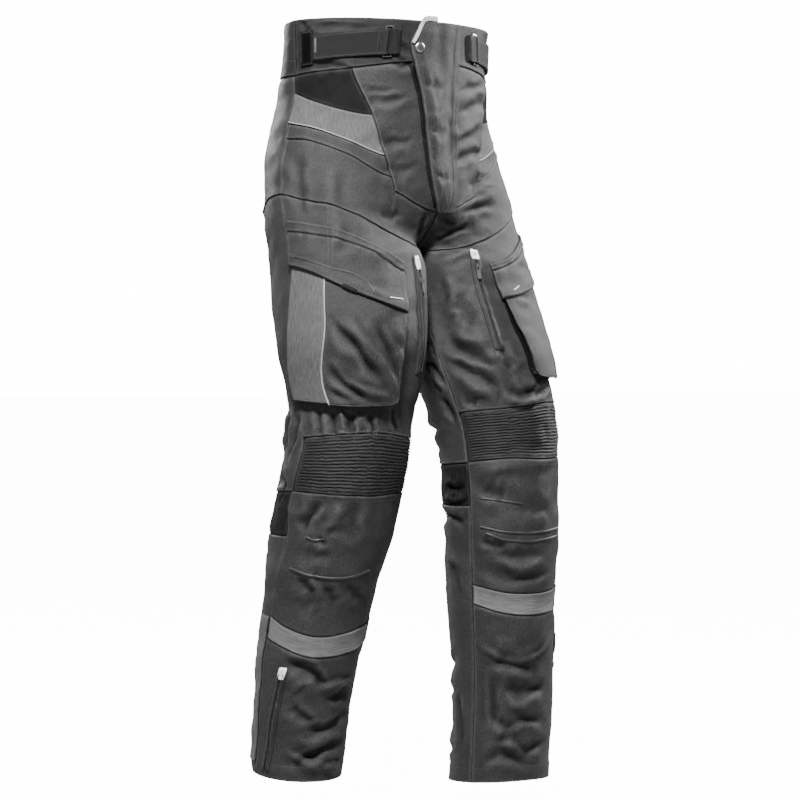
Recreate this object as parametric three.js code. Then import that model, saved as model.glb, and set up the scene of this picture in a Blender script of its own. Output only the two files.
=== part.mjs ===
import * as THREE from "three";

// Riding trousers, in millimetres. Up is +Z, the front faces -Y and the wearer's right is at -X.
// The origin is the middle of the waist opening. Two numbers name a place on the cloth:
// "turn" runs round one half of the body or one leg, from 0 at the centre front and the inseam,
// over 0.5 at the side seam, to 1 at the centre back and the inseam again,
// and "down" is the distance below the waist edge along the side seam.

const wall = 2.5;
const seamHalfGap = 0.15;
const layerGap = 0.4;
const crotchDown = 342;
const hemDown = 1045;
const innerColumns = 5;
const midColumns = 5;
const sideColumns = 2;
const backColumns = 10;
const ribsPerStep = 6;
const ribHeight = 1.5;

// Half widths of the hips seen from above, and how far their middle lies forward
const torsoSections = [
  { down: 0, side: 160, front: 108, back: 100, shift: 1 },
  { down: 60, side: 158, front: 110, back: 112, shift: 3 },
  { down: 120, side: 160, front: 115, back: 134, shift: 4 },
  { down: 190, side: 174, front: 117, back: 146, shift: 4 },
  { down: 260, side: 187, front: 116, back: 136, shift: -2 },
  { down: 342, side: 196, front: 100, back: 118, shift: -9 },
];

// How far the two halves have parted into legs, at the middle of the body and round the outside,
// and how far the inseam rises there
const forkSections = [
  { down: 0, middle: 0, outside: 0, rise: 0 },
  { down: 110, middle: 0, outside: 0, rise: 0 },
  { down: 210, middle: 0, outside: 0.32, rise: 0 },
  { down: 250, middle: 0.06, outside: 0.54, rise: 0 },
  { down: 290, middle: 0.26, outside: 0.78, rise: 2 },
  { down: 320, middle: 0.58, outside: 0.93, rise: 8 },
  { down: 342, middle: 1, outside: 1, rise: 14 },
  { down: 430, middle: 1, outside: 1, rise: 16 },
  { down: 600, middle: 1, outside: 1, rise: 4 },
  { down: 1045, middle: 1, outside: 1, rise: 0 },
];

// Leg rings: middle outward and forward, half width, half depths, tilt of the ring, depth below the waist.
// Above the crotch both legs share the rows named hips.
const legSections = {
  hips: [
    { down: 200, out: 98, fore: -9, width: 99, front: 104, back: 112, tilt: 0, drop: 200 },
    { down: 342, out: 99, fore: -23, width: 97, front: 108, back: 104, tilt: 6, drop: 339 },
    { down: 430, out: 102, fore: -44, width: 96, front: 100, back: 98, tilt: 9, drop: 422 },
  ],
  right: [
    { down: 342, out: 99, fore: -23, width: 97, front: 108, back: 104, tilt: 6, drop: 339 },
    { down: 430, out: 102, fore: -38, width: 96, front: 110, back: 99, tilt: 8, drop: 433 },
    { down: 520, out: 102, fore: -49, width: 87, front: 89, back: 89, tilt: 8, drop: 529 },
    { down: 600, out: 113, fore: -47, width: 84, front: 86, back: 87, tilt: 6, drop: 613 },
    { down: 680, out: 122, fore: -33, width: 82, front: 86, back: 84, tilt: 0, drop: 694 },
    { down: 760, out: 130, fore: -15, width: 75, front: 78, back: 76, tilt: -5, drop: 773 },
    { down: 830, out: 134, fore: -3, width: 70, front: 71, back: 71, tilt: -7, drop: 840 },
    { down: 900, out: 137, fore: 6, width: 67, front: 66, back: 68, tilt: -7, drop: 900 },
    { down: 980, out: 139, fore: 16, width: 64, front: 63, back: 65, tilt: -6, drop: 969 },
    { down: 1045, out: 142, fore: 22, width: 61, front: 60, back: 61, tilt: -6, drop: 1030 },
  ],
  left: [
    { down: 342, out: 99, fore: -23, width: 97, front: 108, back: 104, tilt: 6, drop: 339 },
    { down: 430, out: 99, fore: -52, width: 94, front: 96, back: 100, tilt: 10, drop: 412 },
    { down: 520, out: 102, fore: -84, width: 90, front: 96, back: 96, tilt: 12, drop: 500 },
    { down: 600, out: 111, fore: -102, width: 82, front: 85, back: 85, tilt: 10, drop: 575 },
    { down: 680, out: 117, fore: -106, width: 80, front: 80, back: 82, tilt: 4, drop: 653 },
    { down: 760, out: 123, fore: -101, width: 78, front: 80, back: 80, tilt: -2, drop: 734 },
    { down: 830, out: 127, fore: -96, width: 74, front: 76, back: 77, tilt: -4, drop: 802 },
    { down: 900, out: 134, fore: -90, width: 71, front: 72, back: 73, tilt: -3, drop: 881 },
    { down: 980, out: 140, fore: -82, width: 70, front: 70, back: 72, tilt: 1, drop: 976 },
    { down: 1045, out: 141, fore: -76, width: 69, front: 69, back: 70, tilt: 4, drop: 1055 },
  ],
};

// Degrees by which the inseam and the side seams turn round the leg
const seamTurns = [
  { down: 0, inseam: 0, right: 0, left: 0 },
  { down: 240, inseam: 4, right: -4, left: -2 },
  { down: 300, inseam: 8, right: -8, left: -4 },
  { down: 430, inseam: 10, right: 0, left: 0 },
  { down: 500, inseam: 12, right: 8, left: 2 },
  { down: 565, inseam: 15, right: -7, left: -2 },
  { down: 640, inseam: 16, right: 0, left: 0 },
  { down: 700, inseam: 16, right: -4, left: -1 },
  { down: 800, inseam: 16, right: 6, left: 2 },
  { down: 1045, inseam: 14, right: 10, left: 4 },
];

// How far the waist edge and the hips sink all round, and further at the front and the back
const waistSink = [
  { down: 0, round: 14, front: 0, back: 4 },
  { down: 60, round: 11, front: 4, back: 4 },
  { down: 160, round: 5, front: 4, back: 2 },
  { down: 342, round: 0, front: 0, back: 0 },
];

// Two lines that run down the front: the edge of the centre panel and pocket on each side,
// and the pocket's side strip
const frontLines = [
  { down: 0, right: 0.25, left: 0.25, strip: 0.4 },
  { down: 66, right: 0.27, left: 0.27, strip: 0.4 },
  { down: 128, right: 0.214, left: 0.214, strip: 0.4 },
  { down: 187, right: 0.17, left: 0.17, strip: 0.39 },
  { down: 240, right: 0.145, left: 0.145, strip: 0.388 },
  { down: 300, right: 0.187, left: 0.15, strip: 0.397 },
  { down: 352, right: 0.217, left: 0.186, strip: 0.412 },
  { down: 440, right: 0.22, left: 0.208, strip: 0.4 },
  { down: 535, right: 0.22, left: 0.222, strip: 0.386 },
  { down: 600, right: 0.2, left: 0.2, strip: 0.39 },
  { down: 880, right: 0.2, left: 0.2, strip: 0.387 },
  { down: 1045, right: 0.2, left: 0.2, strip: 0.428 },
];

// Lines that run round the body, from the waist to the hem, each with its course over the front
// (turn, down), on the left leg too where that differs, its height at the centre back,
// and the number of steps to the next line
const lines = [
  { name: "waist edge", front: [[0, 0], [0.5, 0]], back: 0, steps: 1 },
  { name: "strap top", front: [[0, 6], [0.165, 12], [0.405, 22], [0.5, 26]], back: 12, steps: 1 },
  { name: "strap foot", front: [[0, 45], [0.165, 50], [0.405, 60], [0.5, 64]], back: 48, steps: 1 },
  { name: "waistband foot", front: [[0, 54], [0.1, 56], [0.25, 66], [0.5, 78]], back: 68, steps: 2 },
  { name: "hip panel top", front: [[0, 128], [0.215, 134], [0.5, 104]], back: 120, steps: 2 },
  { name: "hip panel foot", front: [[0, 180], [0.172, 189], [0.27, 172], [0.365, 157], [0.5, 146]], back: 172, steps: 1 },
  { name: "welt foot", front: [[0, 215], [0.16, 219], [0.29, 188], [0.42, 170], [0.5, 168]], back: 210, steps: 2 },
  { name: "centre panel foot", front: [[0, 268], [0.03, 266], [0.145, 241], [0.29, 222], [0.5, 206]], back: 270, steps: 2 },
  { name: "thigh seam", front: [[0, 342], [0.1, 335], [0.19, 312], [0.33, 272], [0.453, 254], [0.5, 248]], back: 342, steps: 1 },
  { name: "flap top", front: [[0, 392], [0.1, 383], [0.217, 356], [0.355, 305], [0.448, 289], [0.5, 284]], steps: 1 },
  { name: "flap hinge", front: [[0, 404], [0.1, 396], [0.217, 370], [0.355, 322], [0.448, 306], [0.5, 301]], steps: 1 },
  { name: "pocket mouth", front: [[0, 428], [0.1, 420], [0.233, 404], [0.355, 370], [0.475, 338], [0.5, 334]], steps: 1 },
  { name: "flap foot", front: [[0, 444], [0.1, 436], [0.233, 419], [0.355, 388], [0.475, 353], [0.5, 349]], steps: 4 },
  { name: "pocket foot", front: [[0, 506], [0.1, 518], [0.21, 530], [0.33, 530], [0.5, 516]], steps: 1 },
  { name: "knee top", front: [[0, 574], [0.12, 573], [0.3, 563], [0.5, 562]], steps: 3 },
  { name: "knee foot", front: [[0, 640], [0.12, 638], [0.25, 640], [0.35, 637], [0.5, 630]], steps: 2 },
  { name: "knee back foot", front: [[0, 697], [0.5, 690]], steps: 3 },
  {
    name: "band top",
    front: [[0, 797], [0.09, 805], [0.22, 816], [0.33, 821], [0.42, 813], [0.5, 802]],
    left: [[0, 804], [0.09, 812], [0.2, 814], [0.3, 811], [0.4, 806], [0.5, 802]],
    steps: 1,
  },
  {
    name: "band foot",
    front: [[0, 828], [0.09, 835], [0.2, 846], [0.33, 851], [0.42, 842], [0.5, 833]],
    left: [[0, 830], [0.09, 839], [0.2, 842], [0.3, 840], [0.4, 836], [0.5, 833]],
    steps: 4,
  },
  { name: "hem", front: [[0, 1045], [0.5, 1045]], steps: 0 },
];

// Value of a table's column at x, through its rows as a smooth curve
function smooth(xs, ys, x) {
  const n = xs.length;
  if (x <= xs[0]) {
    return ys[0];
  }
  if (x >= xs[n - 1]) {
    return ys[n - 1];
  }
  let i = 0;
  while (x > xs[i + 1]) {
    i += 1;
  }
  const slope = (a) => (ys[a + 1] - ys[a]) / (xs[a + 1] - xs[a]);
  const tangent = (a) => {
    if (a === 0) {
      return slope(0);
    }
    if (a === n - 1) {
      return slope(n - 2);
    }
    const before = xs[a] - xs[a - 1];
    const after = xs[a + 1] - xs[a];
    return (slope(a - 1) * after + slope(a) * before) / (before + after);
  };
  const h = xs[i + 1] - xs[i];
  const f = (x - xs[i]) / h;
  const g = 1 - f;
  const hold = g * g * (1 + 2 * f) * ys[i] + f * f * (1 + 2 * g) * ys[i + 1];
  return hold + h * f * g * (g * tangent(i) - f * tangent(i + 1));
}

const columnCache = new Map();
function column(table, key, x) {
  if (!columnCache.has(table)) {
    columnCache.set(table, new Map());
  }
  const store = columnCache.get(table);
  if (!store.has(key)) {
    store.set(key, table.map((row) => row[key]));
    store.set("down", table.map((row) => row.down));
  }
  return smooth(store.get("down"), store.get(key), x);
}

// Point of the cloth's outer face: a half oval for the hips, blended into a tilted ring for the leg
function form(side, turn, down) {
  const sign = side === "right" ? -1 : 1;
  const legs = legSections[down < crotchDown ? "hips" : side];
  const torso = (key) => column(torsoSections, key, down);
  const leg = (key) => column(legs, key, down);
  const half = Math.cos(Math.PI * turn);
  const torsoOut = torso("side") * Math.sin(Math.PI * turn);
  const torsoFore = torso("shift") - (half > 0 ? torso("front") : torso("back")) * half;
  const near = Math.cos(2 * Math.PI * turn) * 0.5 + 0.5;
  const turned = column(seamTurns, "inseam", down) * near + column(seamTurns, side, down) * (1 - near);
  const angle = 2 * Math.PI * turn + (turned * Math.PI) / 180;
  const lean = Math.sin(angle);
  const legOut = Math.max(leg("out") - leg("width") * Math.cos(angle), 0);
  const legFore = leg("fore") - (lean > 0 ? leg("front") : leg("back")) * lean;
  const middle = half ** 4;
  const parted = column(forkSections, "middle", down) * middle + column(forkSections, "outside", down) * (1 - middle);
  const share = Math.min(Math.max(parted, 0), 1);
  const rise = column(forkSections, "rise", down) * Math.abs(half) ** 3;
  const depth = down < 200 ? down : leg("drop");
  const sink = column(waistSink, half > 0 ? "front" : "back", down) * Math.abs(half);
  return new THREE.Vector3(
    sign * ((1 - share) * torsoOut + share * legOut),
    (1 - share) * torsoFore + share * legFore,
    rise + share * leg("tilt") * lean - depth - sink - column(waistSink, "round", down),
  );
}

// The same, carried over the seams: round the leg below the crotch, mirrored over the middle above it
function formOver(side, turn, down) {
  if (turn >= 0 && turn <= 1) {
    return form(side, turn, down);
  }
  if (down >= crotchDown) {
    return form(side, turn - Math.floor(turn), down);
  }
  const point = form(side, turn < 0 ? -turn : 2 - turn, down);
  point.x = -point.x;
  return point;
}

// Soft folds and fullness of the cloth: a ridge where height is above 0, a trough where it is below.
// Each runs from one place to another and fades over its half width.
const folds = [
  { sides: "both", from: [0.1, 372], to: [0.13, 500], halfWidth: 46, height: 8 },
];

function foldHeight(side, turn, down) {
  let height = 0;
  for (const fold of folds) {
    if (fold.sides !== "both" && fold.sides !== side) {
      continue;
    }
    const girth = 560;
    const ax = fold.from[0] * girth;
    const bx = fold.to[0] * girth;
    const px = turn * girth;
    const dx = bx - ax;
    const dy = fold.to[1] - fold.from[1];
    const along = ((px - ax) * dx + (down - fold.from[1]) * dy) / (dx * dx + dy * dy);
    const held = Math.min(Math.max(along, 0), 1);
    const off = Math.hypot(px - ax - held * dx, down - fold.from[1] - held * dy) / fold.halfWidth;
    height += off < 1 ? fold.height * (1 - off * off) ** 2 : 0;
  }
  return height;
}

// A place on the cloth with its outward direction, across the wall
function place(side, turn, down) {
  const point = form(side, turn, down);
  const across = formOver(side, turn + 0.004, down).sub(formOver(side, turn - 0.004, down));
  const along = form(side, turn, Math.min(down + 2, hemDown)).sub(form(side, turn, down - 2));
  const out = new THREE.Vector3().crossVectors(across, along).normalize();
  if (side === "left") {
    out.negate();
  }
  const atMiddle = (turn === 0 || turn === 1) && down < crotchDown - 0.5;
  if (atMiddle) {
    point.x = 0;
    out.x = 0;
    const share = Math.max(out.length(), 0.5);
    out.normalize().divideScalar(share);
  } else if (turn > 0 && turn < 1) {
    point.addScaledVector(out, foldHeight(side, turn, down));
  }
  return { point, out, turn, down };
}

function frontTurn(side, columnIndex, down) {
  const centre = column(frontLines, side, down);
  const strip = column(frontLines, "strip", down);
  const last = innerColumns + midColumns + sideColumns;
  if (columnIndex <= innerColumns) {
    return (centre * columnIndex) / innerColumns;
  }
  if (columnIndex <= innerColumns + midColumns) {
    return centre + ((strip - centre) * (columnIndex - innerColumns)) / midColumns;
  }
  return strip + ((0.5 - strip) * (columnIndex - innerColumns - midColumns)) / sideColumns;
}

function lineDown(line, side, turn) {
  const course = line[side] || line.front;
  const xs = course.map((pair) => pair[0]);
  const ys = course.map((pair) => pair[1]);
  if (turn <= 0.5) {
    return smooth(xs, ys, turn);
  }
  const back = line.back === undefined ? ys[0] : line.back;
  const f = (turn - 0.5) * 2;
  return ys[ys.length - 1] + (back - ys[ys.length - 1]) * f * f * (3 - 2 * f);
}

// Grid rows, numbered from the waist, with the number of the row at each named line
const rows = [];
const rowOf = {};
lines.forEach((line, index) => {
  rowOf[line.name] = rows.length;
  for (let step = 0; step < Math.max(line.steps, 1); step += 1) {
    const share = line.steps === 0 ? 0 : step / line.steps;
    const next = lines[Math.min(index + 1, lines.length - 1)];
    rows.push((side, turn) => lineDown(line, side, turn) * (1 - share) + lineDown(next, side, turn) * share);
  }
});

const frontColumns = innerColumns + midColumns + sideColumns;

function makeGrid(side, area) {
  const count = area === "front" ? frontColumns : backColumns;
  return rows.map((row) => {
    const line = [];
    for (let c = 0; c <= count; c += 1) {
      let turn = area === "front" ? (0.5 * c) / count : 0.5 + (0.5 * c) / count;
      let down = row(side, turn);
      for (let pass = 0; area === "front" && pass < 12; pass += 1) {
        turn = frontTurn(side, c, down);
        down = row(side, turn);
      }
      line.push(place(side, turn, down));
    }
    return line;
  });
}

const grids = {
  right: { front: makeGrid("right", "front"), back: makeGrid("right", "back") },
  left: { front: makeGrid("left", "front"), back: makeGrid("left", "back") },
};

// Both back halves side by side, for the piece that crosses the centre back
grids.both = { back: rows.map((row, r) => [...grids.right.back[r], ...grids.left.back[r].slice(0, -1).reverse()]) };

const trousers = new THREE.Group();

// Adds a closed body under its name, turned to face outward
function addBody(name, points, faces) {
  let volume = 0;
  for (const [a, b, c] of faces) {
    volume += points[a].dot(new THREE.Vector3().crossVectors(points[b], points[c]));
  }
  const ordered = volume > 0 ? faces : faces.map(([a, b, c]) => [a, c, b]);
  const geometry = new THREE.BufferGeometry();
  geometry.setAttribute("position", new THREE.Float32BufferAttribute(points.flatMap((p) => [p.x, p.y, p.z]), 3));
  geometry.setIndex(ordered.flat());
  geometry.computeVertexNormals();
  const mesh = new THREE.Mesh(geometry);
  mesh.name = name;
  trousers.add(mesh);
  return mesh;
}

const quad = (a, b, c, d) => [[a, b, c], [a, c, d]];

// A cut piece of the garment: the grid cells of its blocks [first row, last row, first column, last column],
// kept back from its seams by half the seam gap and closed to a wall inward. With ribs, its outer face
// carries that many raised ribs between two rows, which die out at the sides.
function addPanel(name, side, area, blocks, ribs = 0) {
  const grid = grids[side][area];
  const cells = new Set();
  for (const [r0, r1, c0, c1] of blocks) {
    for (let r = r0; r < r1; r += 1) {
      for (let c = c0; c < c1; c += 1) {
        cells.add(`${r},${c}`);
      }
    }
  }
  const has = (r, c) => cells.has(`${r},${c}`);
  const edges = [];
  const inward = new Map();
  const at = (r, c) => grid[r][c];
  const note = (r, c, direction) => {
    const key = `${r},${c}`;
    inward.set(key, [...(inward.get(key) || []), direction]);
  };
  for (const cell of cells) {
    const [r, c] = cell.split(",").map(Number);
    const corners = [[r, c], [r + 1, c], [r + 1, c + 1], [r, c + 1]];
    const neighbours = [[r, c - 1], [r + 1, c], [r, c + 1], [r - 1, c]];
    const centre = new THREE.Vector3();
    corners.forEach(([a, b]) => centre.addScaledVector(at(a, b).point, 0.25));
    neighbours.forEach(([nr, nc], k) => {
      if (has(nr, nc)) {
        return;
      }
      const [a, b] = [corners[k], corners[(k + 1) % 4]];
      const pa = at(...a).point;
      const pb = at(...b).point;
      const run = pb.clone().sub(pa).normalize();
      const direction = centre.clone().sub(pa.clone().add(pb).multiplyScalar(0.5));
      direction.addScaledVector(run, -direction.dot(run)).normalize();
      edges.push([a, b]);
      note(...a, direction);
      note(...b, direction);
    });
  }
  const points = [];
  const index = new Map();
  const vertex = (r, c) => {
    const key = `${r},${c}`;
    if (!index.has(key)) {
      const spot = at(r, c);
      const point = spot.point.clone();
      const sides = inward.get(key);
      if (sides) {
        const shift = sides.reduce((sum, d) => sum.add(d), new THREE.Vector3());
        const scale = sides.length > 1 ? 1 / (1 + Math.max(sides[0].dot(sides[1]), -0.3)) : 1;
        point.addScaledVector(shift, seamHalfGap * scale);
      }
      index.set(key, points.length);
      points.push(point, point.clone().addScaledVector(spot.out, -wall));
    }
    return index.get(key);
  };
  const lastColumn = blocks[0][3];
  const steps = Math.max(2 * ribs, 1);
  const runs = new Map();
  const run = (r, c) => {
    const key = `${r},${c}`;
    if (!runs.has(key)) {
      const [a, b] = [vertex(r, c), vertex(r + 1, c)];
      const held = c === 0 || c === lastColumn ? 0 : ribHeight;
      const list = [a];
      for (let k = 1; k < steps; k += 1) {
        const point = points[a].clone().lerp(points[b], k / steps);
        const out = at(r, c).out.clone().lerp(at(r + 1, c).out, k / steps);
        list.push(points.length);
        points.push(point.addScaledVector(out, k % 2 === 1 ? held : 0));
      }
      runs.set(key, [...list, b]);
    }
    return runs.get(key);
  };
  const faces = [];
  for (const cell of cells) {
    const [r, c] = cell.split(",").map(Number);
    const [a, b, d, e] = [vertex(r, c), vertex(r + 1, c), vertex(r + 1, c + 1), vertex(r, c + 1)];
    const [near, far] = [run(r, c), run(r, c + 1)];
    for (let k = 0; k < steps; k += 1) {
      faces.push(...quad(near[k], near[k + 1], far[k + 1], far[k]));
    }
    faces.push([a + 1, d + 1, b + 1], [a + 1, e + 1, d + 1]);
  }
  for (const [a, b] of edges) {
    const [i, j] = [vertex(...a), vertex(...b)];
    const forward = a[0] + a[1] < b[0] + b[1];
    const along = a[1] !== b[1] ? [i, j] : [...run(Math.min(a[0], b[0]), a[1])];
    if (along[0] !== i) {
      along.reverse();
    }
    const hub = forward ? j + 1 : i + 1;
    faces.push(forward ? [i, i + 1, j + 1] : [j, i + 1, j + 1]);
    for (let k = 0; k + 1 < along.length; k += 1) {
      faces.push([along[k], hub, along[k + 1]]);
    }
  }
  return addBody(name, points, faces);
}

// Point and outward direction on a piece's own flat facets, at part-way row and column numbers
function facet(side, area, row, col) {
  const grid = grids[side][area];
  const r = Math.min(Math.floor(row), grid.length - 2);
  const c = Math.min(Math.floor(col), grid[0].length - 2);
  const fr = row - r;
  const fc = col - c;
  const [a, b, d, e] = [grid[r][c], grid[r + 1][c], grid[r + 1][c + 1], grid[r][c + 1]];
  const mix = (key) => {
    const middle = fc <= fr ? b[key] : e[key];
    const first = fc <= fr ? fr : fc;
    const second = fc <= fr ? fc : fr;
    return a[key].clone().addScaledVector(middle.clone().sub(a[key]), first)
      .addScaledVector(d[key].clone().sub(middle), second);
  };
  return { point: mix("point"), out: mix("out").normalize() };
}

// Row and column numbers of a place given by its turn and down
function indexAt(side, area, turn, down) {
  let col = ((turn - 0.5) * 2) * backColumns;
  if (area === "front") {
    const centre = column(frontLines, side, down);
    const strip = column(frontLines, "strip", down);
    const past = innerColumns + midColumns;
    const mid = innerColumns + ((turn - centre) / (strip - centre)) * midColumns;
    const outer = past + ((turn - strip) / (0.5 - strip)) * sideColumns;
    col = turn <= centre ? (turn / centre) * innerColumns : turn <= strip ? mid : outer;
  }
  let row = 0;
  while (row < rows.length - 2 && rows[row + 1](side, turn) < down) {
    row += 1;
  }
  const top = rows[row](side, turn);
  return [row + (down - top) / (rows[row + 1](side, turn) - top), col];
}

const spotAt = (side, area, turn, down) => facet(side, area, ...indexAt(side, area, turn, down));

// A closed sheet between an upper and a lower net of points with the same rows and columns
function addSheet(name, upper, lower) {
  const points = [...upper.flat(), ...lower.flat()];
  const [height, width] = [upper.length, upper[0].length];
  const below = height * width;
  const id = (i, j) => i * width + j;
  const faces = [];
  for (let i = 0; i + 1 < height; i += 1) {
    for (let j = 0; j + 1 < width; j += 1) {
      const [a, b, d, e] = [id(i, j), id(i + 1, j), id(i + 1, j + 1), id(i, j + 1)];
      faces.push(...quad(a, b, d, e), [a + below, d + below, b + below], [a + below, e + below, d + below]);
    }
  }
  const rim = [];
  for (let i = 0; i + 1 < height; i += 1) {
    rim.push([id(i, 0), id(i + 1, 0)], [id(i + 1, width - 1), id(i, width - 1)]);
  }
  for (let j = 0; j + 1 < width; j += 1) {
    rim.push([id(0, j + 1), id(0, j)], [id(height - 1, j), id(height - 1, j + 1)]);
  }
  for (const [a, b] of rim) {
    faces.push(...quad(a, a + below, b + below, b));
  }
  return addBody(name, points, faces);
}

const raised = ({ point, out }, height) => point.clone().addScaledVector(out, height);

// A layer whose upper and lower faces run over their own part-way rows and columns of a piece below
function addLayer(name, side, area, upper, lower) {
  const net = ({ rowList, columnList, height }) =>
    rowList.map((row, i) => columnList.map((col, j) => raised(facet(side, area, row, col), height(i, j))));
  return addSheet(name, net(upper), net(lower));
}

// A flat ribbon that follows a path of [column, height] pairs, between two rows of a piece below
function addRibbon(name, side, rowList, outerPath, innerPath) {
  const net = (path) =>
    rowList.map((row) => path.map(([col, height]) => raised(facet(side, "front", row, col), height)));
  return addSheet(name, net(outerPath), net(innerPath));
}

const range = (from, to) => {
  const step = from < to ? 1 : -1;
  return Array.from({ length: Math.abs(to - from) + 1 }, (_, k) => from + step * k);
};

const R = rowOf;
for (const side of ["right", "left"]) {
  const last = frontColumns;
  const centre = innerColumns;
  addPanel(`front_waistband_${side}`, side, "front", [[0, R["waistband foot"], 0, last]]);
  addPanel(`centre_front_panel_${side}`, side, "front", [[R["waistband foot"], R["centre panel foot"], 0, centre]]);
  addPanel(`hip_yoke_${side}`, side, "front", [[R["waistband foot"], R["hip panel top"], centre, last]]);
  addPanel(`hip_panel_${side}`, side, "front", [[R["hip panel top"], R["hip panel foot"], centre, last]]);
  addPanel(`hip_pocket_welt_${side}`, side, "front", [[R["hip panel foot"], R["welt foot"], centre, last]]);
  addPanel(`upper_front_panel_${side}`, side, "front", [
    [R["welt foot"], R["thigh seam"], centre, last],
    [R["centre panel foot"], R["thigh seam"], 0, centre],
  ]);
  addPanel(`thigh_panel_${side}`, side, "front", [[R["thigh seam"], R["knee top"], 0, last]]);
  addPanel(`knee_panel_${side}`, side, "front", [[R["knee top"], R["knee foot"], 0, last]], ribsPerStep);
  addPanel(`shin_panel_${side}`, side, "front", [[R["knee foot"], R["band top"], 0, last]]);
  addPanel(`shin_band_${side}`, side, "front", [[R["band top"], R["band foot"], 0, last]]);
  addPanel(`lower_front_panel_${side}`, side, "front", [[R["band foot"], R.hem, 0, last]]);
  addPanel(`seat_panel_${side}`, side, "back", [[R["waistband foot"], R["thigh seam"], 0, backColumns]]);
  addPanel(`back_thigh_panel_${side}`, side, "back", [[R["thigh seam"], R["knee foot"], 0, backColumns]]);
  addPanel(`knee_back_panel_${side}`, side, "back", [[R["knee foot"], R["knee back foot"], 0, backColumns]]);
  addPanel(`calf_panel_${side}`, side, "back", [[R["knee back foot"], R.hem, 0, backColumns]]);
}

addPanel("back_waistband", "both", "back", [[0, R["waistband foot"], 0, 2 * backColumns]]);

// Cargo pocket on the thigh: a hollow pouch whose sides stand on the cloth, its grey side strip and its flap
const pocket = { wall: 2, flapWall: 1.8, depth: 12, sideDepth: 7, mouthLift: 3 };

function addPocket(side) {
  const mouth = R["pocket mouth"];
  const lip = R["flap foot"];
  const foot = R["pocket foot"];
  const body = innerColumns;
  const strip = innerColumns + midColumns;
  const end = frontColumns;
  const inner = range(lip, foot - 1);
  const rise = [pocket.mouthLift, 5.5, 9, 11, pocket.depth, 0.95 * pocket.depth];
  const upperRows = [mouth + 0.03, mouth + 0.14, ...inner, foot - 0.1, foot - 0.03];
  const lowerRows = [mouth + 0.16, mouth + 0.27, ...inner, foot - 0.16, foot - 0.09];
  const profile = (i, across) => (i === 0 || i === upperRows.length - 1 ? 0 : rise[i - 1] * across);
  const bodyAcross = [0, 0.95, 1, 1, 1, 0.95, 0.86];
  addLayer(`cargo_pocket_${side}`, side, "front", {
    rowList: upperRows,
    columnList: [body + 0.03, body + 0.12, ...range(body + 1, strip - 1), strip - 0.01],
    height: (i, j) => layerGap + profile(i, bodyAcross[j]),
  }, {
    rowList: lowerRows,
    columnList: [body + 0.11, body + 0.2, ...range(body + 1, strip - 1), strip - 0.01],
    height: (i, j) => layerGap + Math.max(profile(i, bodyAcross[j]) - pocket.wall, 0),
  });
  const stripAcross = [0.86, 0.6, 0.45, 0];
  addLayer(`pocket_strip_${side}`, side, "front", {
    rowList: upperRows,
    columnList: [strip + 0.01, strip + 1, end - 0.14, end - 0.05],
    height: (i, j) => layerGap + profile(i, stripAcross[j]),
  }, {
    rowList: lowerRows,
    columnList: [strip + 0.01, strip + 1, end - 0.2, end - 0.13],
    height: (i, j) => layerGap + Math.max(profile(i, stripAcross[j]) - pocket.wall, 0),
  });
  const flapLift = [0, 0.5, 3.6, 4.2, 6.4];
  const flapAcross = [0.5, 1, 1, 1, 1, 1, 0.95, 0.9, 0.6];
  const flapRows = [R["flap top"] + 0.03, R["flap hinge"], mouth, mouth + 0.16, lip];
  const flapColumns = [body - 0.12, body + 0.02, ...range(body + 1, strip - 1), strip, strip + 1, end - 0.04];
  const flapLow = (i, j) => layerGap + flapLift[i] * flapAcross[j];
  addLayer(`pocket_flap_${side}`, side, "front",
    { rowList: flapRows, columnList: flapColumns, height: (i, j) => flapLow(i, j) + pocket.flapWall },
    { rowList: flapRows, columnList: flapColumns, height: flapLow });
}

// A zip on its narrow tape, and the light cover over its upper end
function addZip(name, side, zip) {
  const spot = (down, across) => {
    const share = (down - zip.top) / (zip.foot - zip.top);
    const turn = zip.turnTop + (zip.turnFoot - zip.turnTop) * share;
    return spotAt(side, "front", turn + across / zip.girth, down);
  };
  const between = rows.filter((row) => {
    const down = row(side, (zip.turnTop + zip.turnFoot) / 2);
    return down > zip.top + 4 && down < zip.foot - 4;
  });
  const courses = [() => zip.top, ...between, () => zip.foot];
  const net = (height) => courses.map((course) => [-zip.halfWidth, 0, zip.halfWidth].map((across) => {
    const share = (course(side, zip.turnTop) - zip.top) / (zip.foot - zip.top);
    const turn = zip.turnTop + (zip.turnFoot - zip.turnTop) * share;
    return raised(spot(course(side, turn + across / zip.girth), across), height);
  }));
  addSheet(`${name}_${side}`, net(zip.gap + zip.thick), net(zip.gap));
  const over = zip.gap + zip.thick + layerGap;
  const cover = (height) => [[-14, 0.5], [-11, 0.95], [4, 1], [6, 0.8]].map(
    ([below, width]) => [-1, 0, 1].map(
      (across) => raised(spot(zip.top + 8 + below, across * width * (zip.halfWidth - 0.5)), height)));
  addSheet(`${name}_cover_${side}`, cover(over + 1.4), cover(over));
  return spot;
}

const ventZip = { foot: 498, turnTop: 0.156, turnFoot: 0.15, girth: 600, halfWidth: 6, gap: 1, thick: 1.2 };
const ventZips = { right: { ...ventZip, top: 356 }, left: { ...ventZip, top: 344 } };
const hemZip = { top: 878, foot: 1036, turnTop: 0.408, turnFoot: 0.447, girth: 430, halfWidth: 6, gap: 0.5, thick: 1.2 };

// Slider of a vent zip, an arch on a foot, and the pull tab that hangs from it by a bar through the arch
const slider = { below: 28, length: 8, foot: 1.2, width: 1.6, axisHeight: 3.5, holeRadius: 1.25, archRadius: 2.2 };
const pull = { width: 4.8, length: 18, thick: 1.3, windowWidth: 2.6, windowEnd: 5.2, bar: 0.65 };

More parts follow.
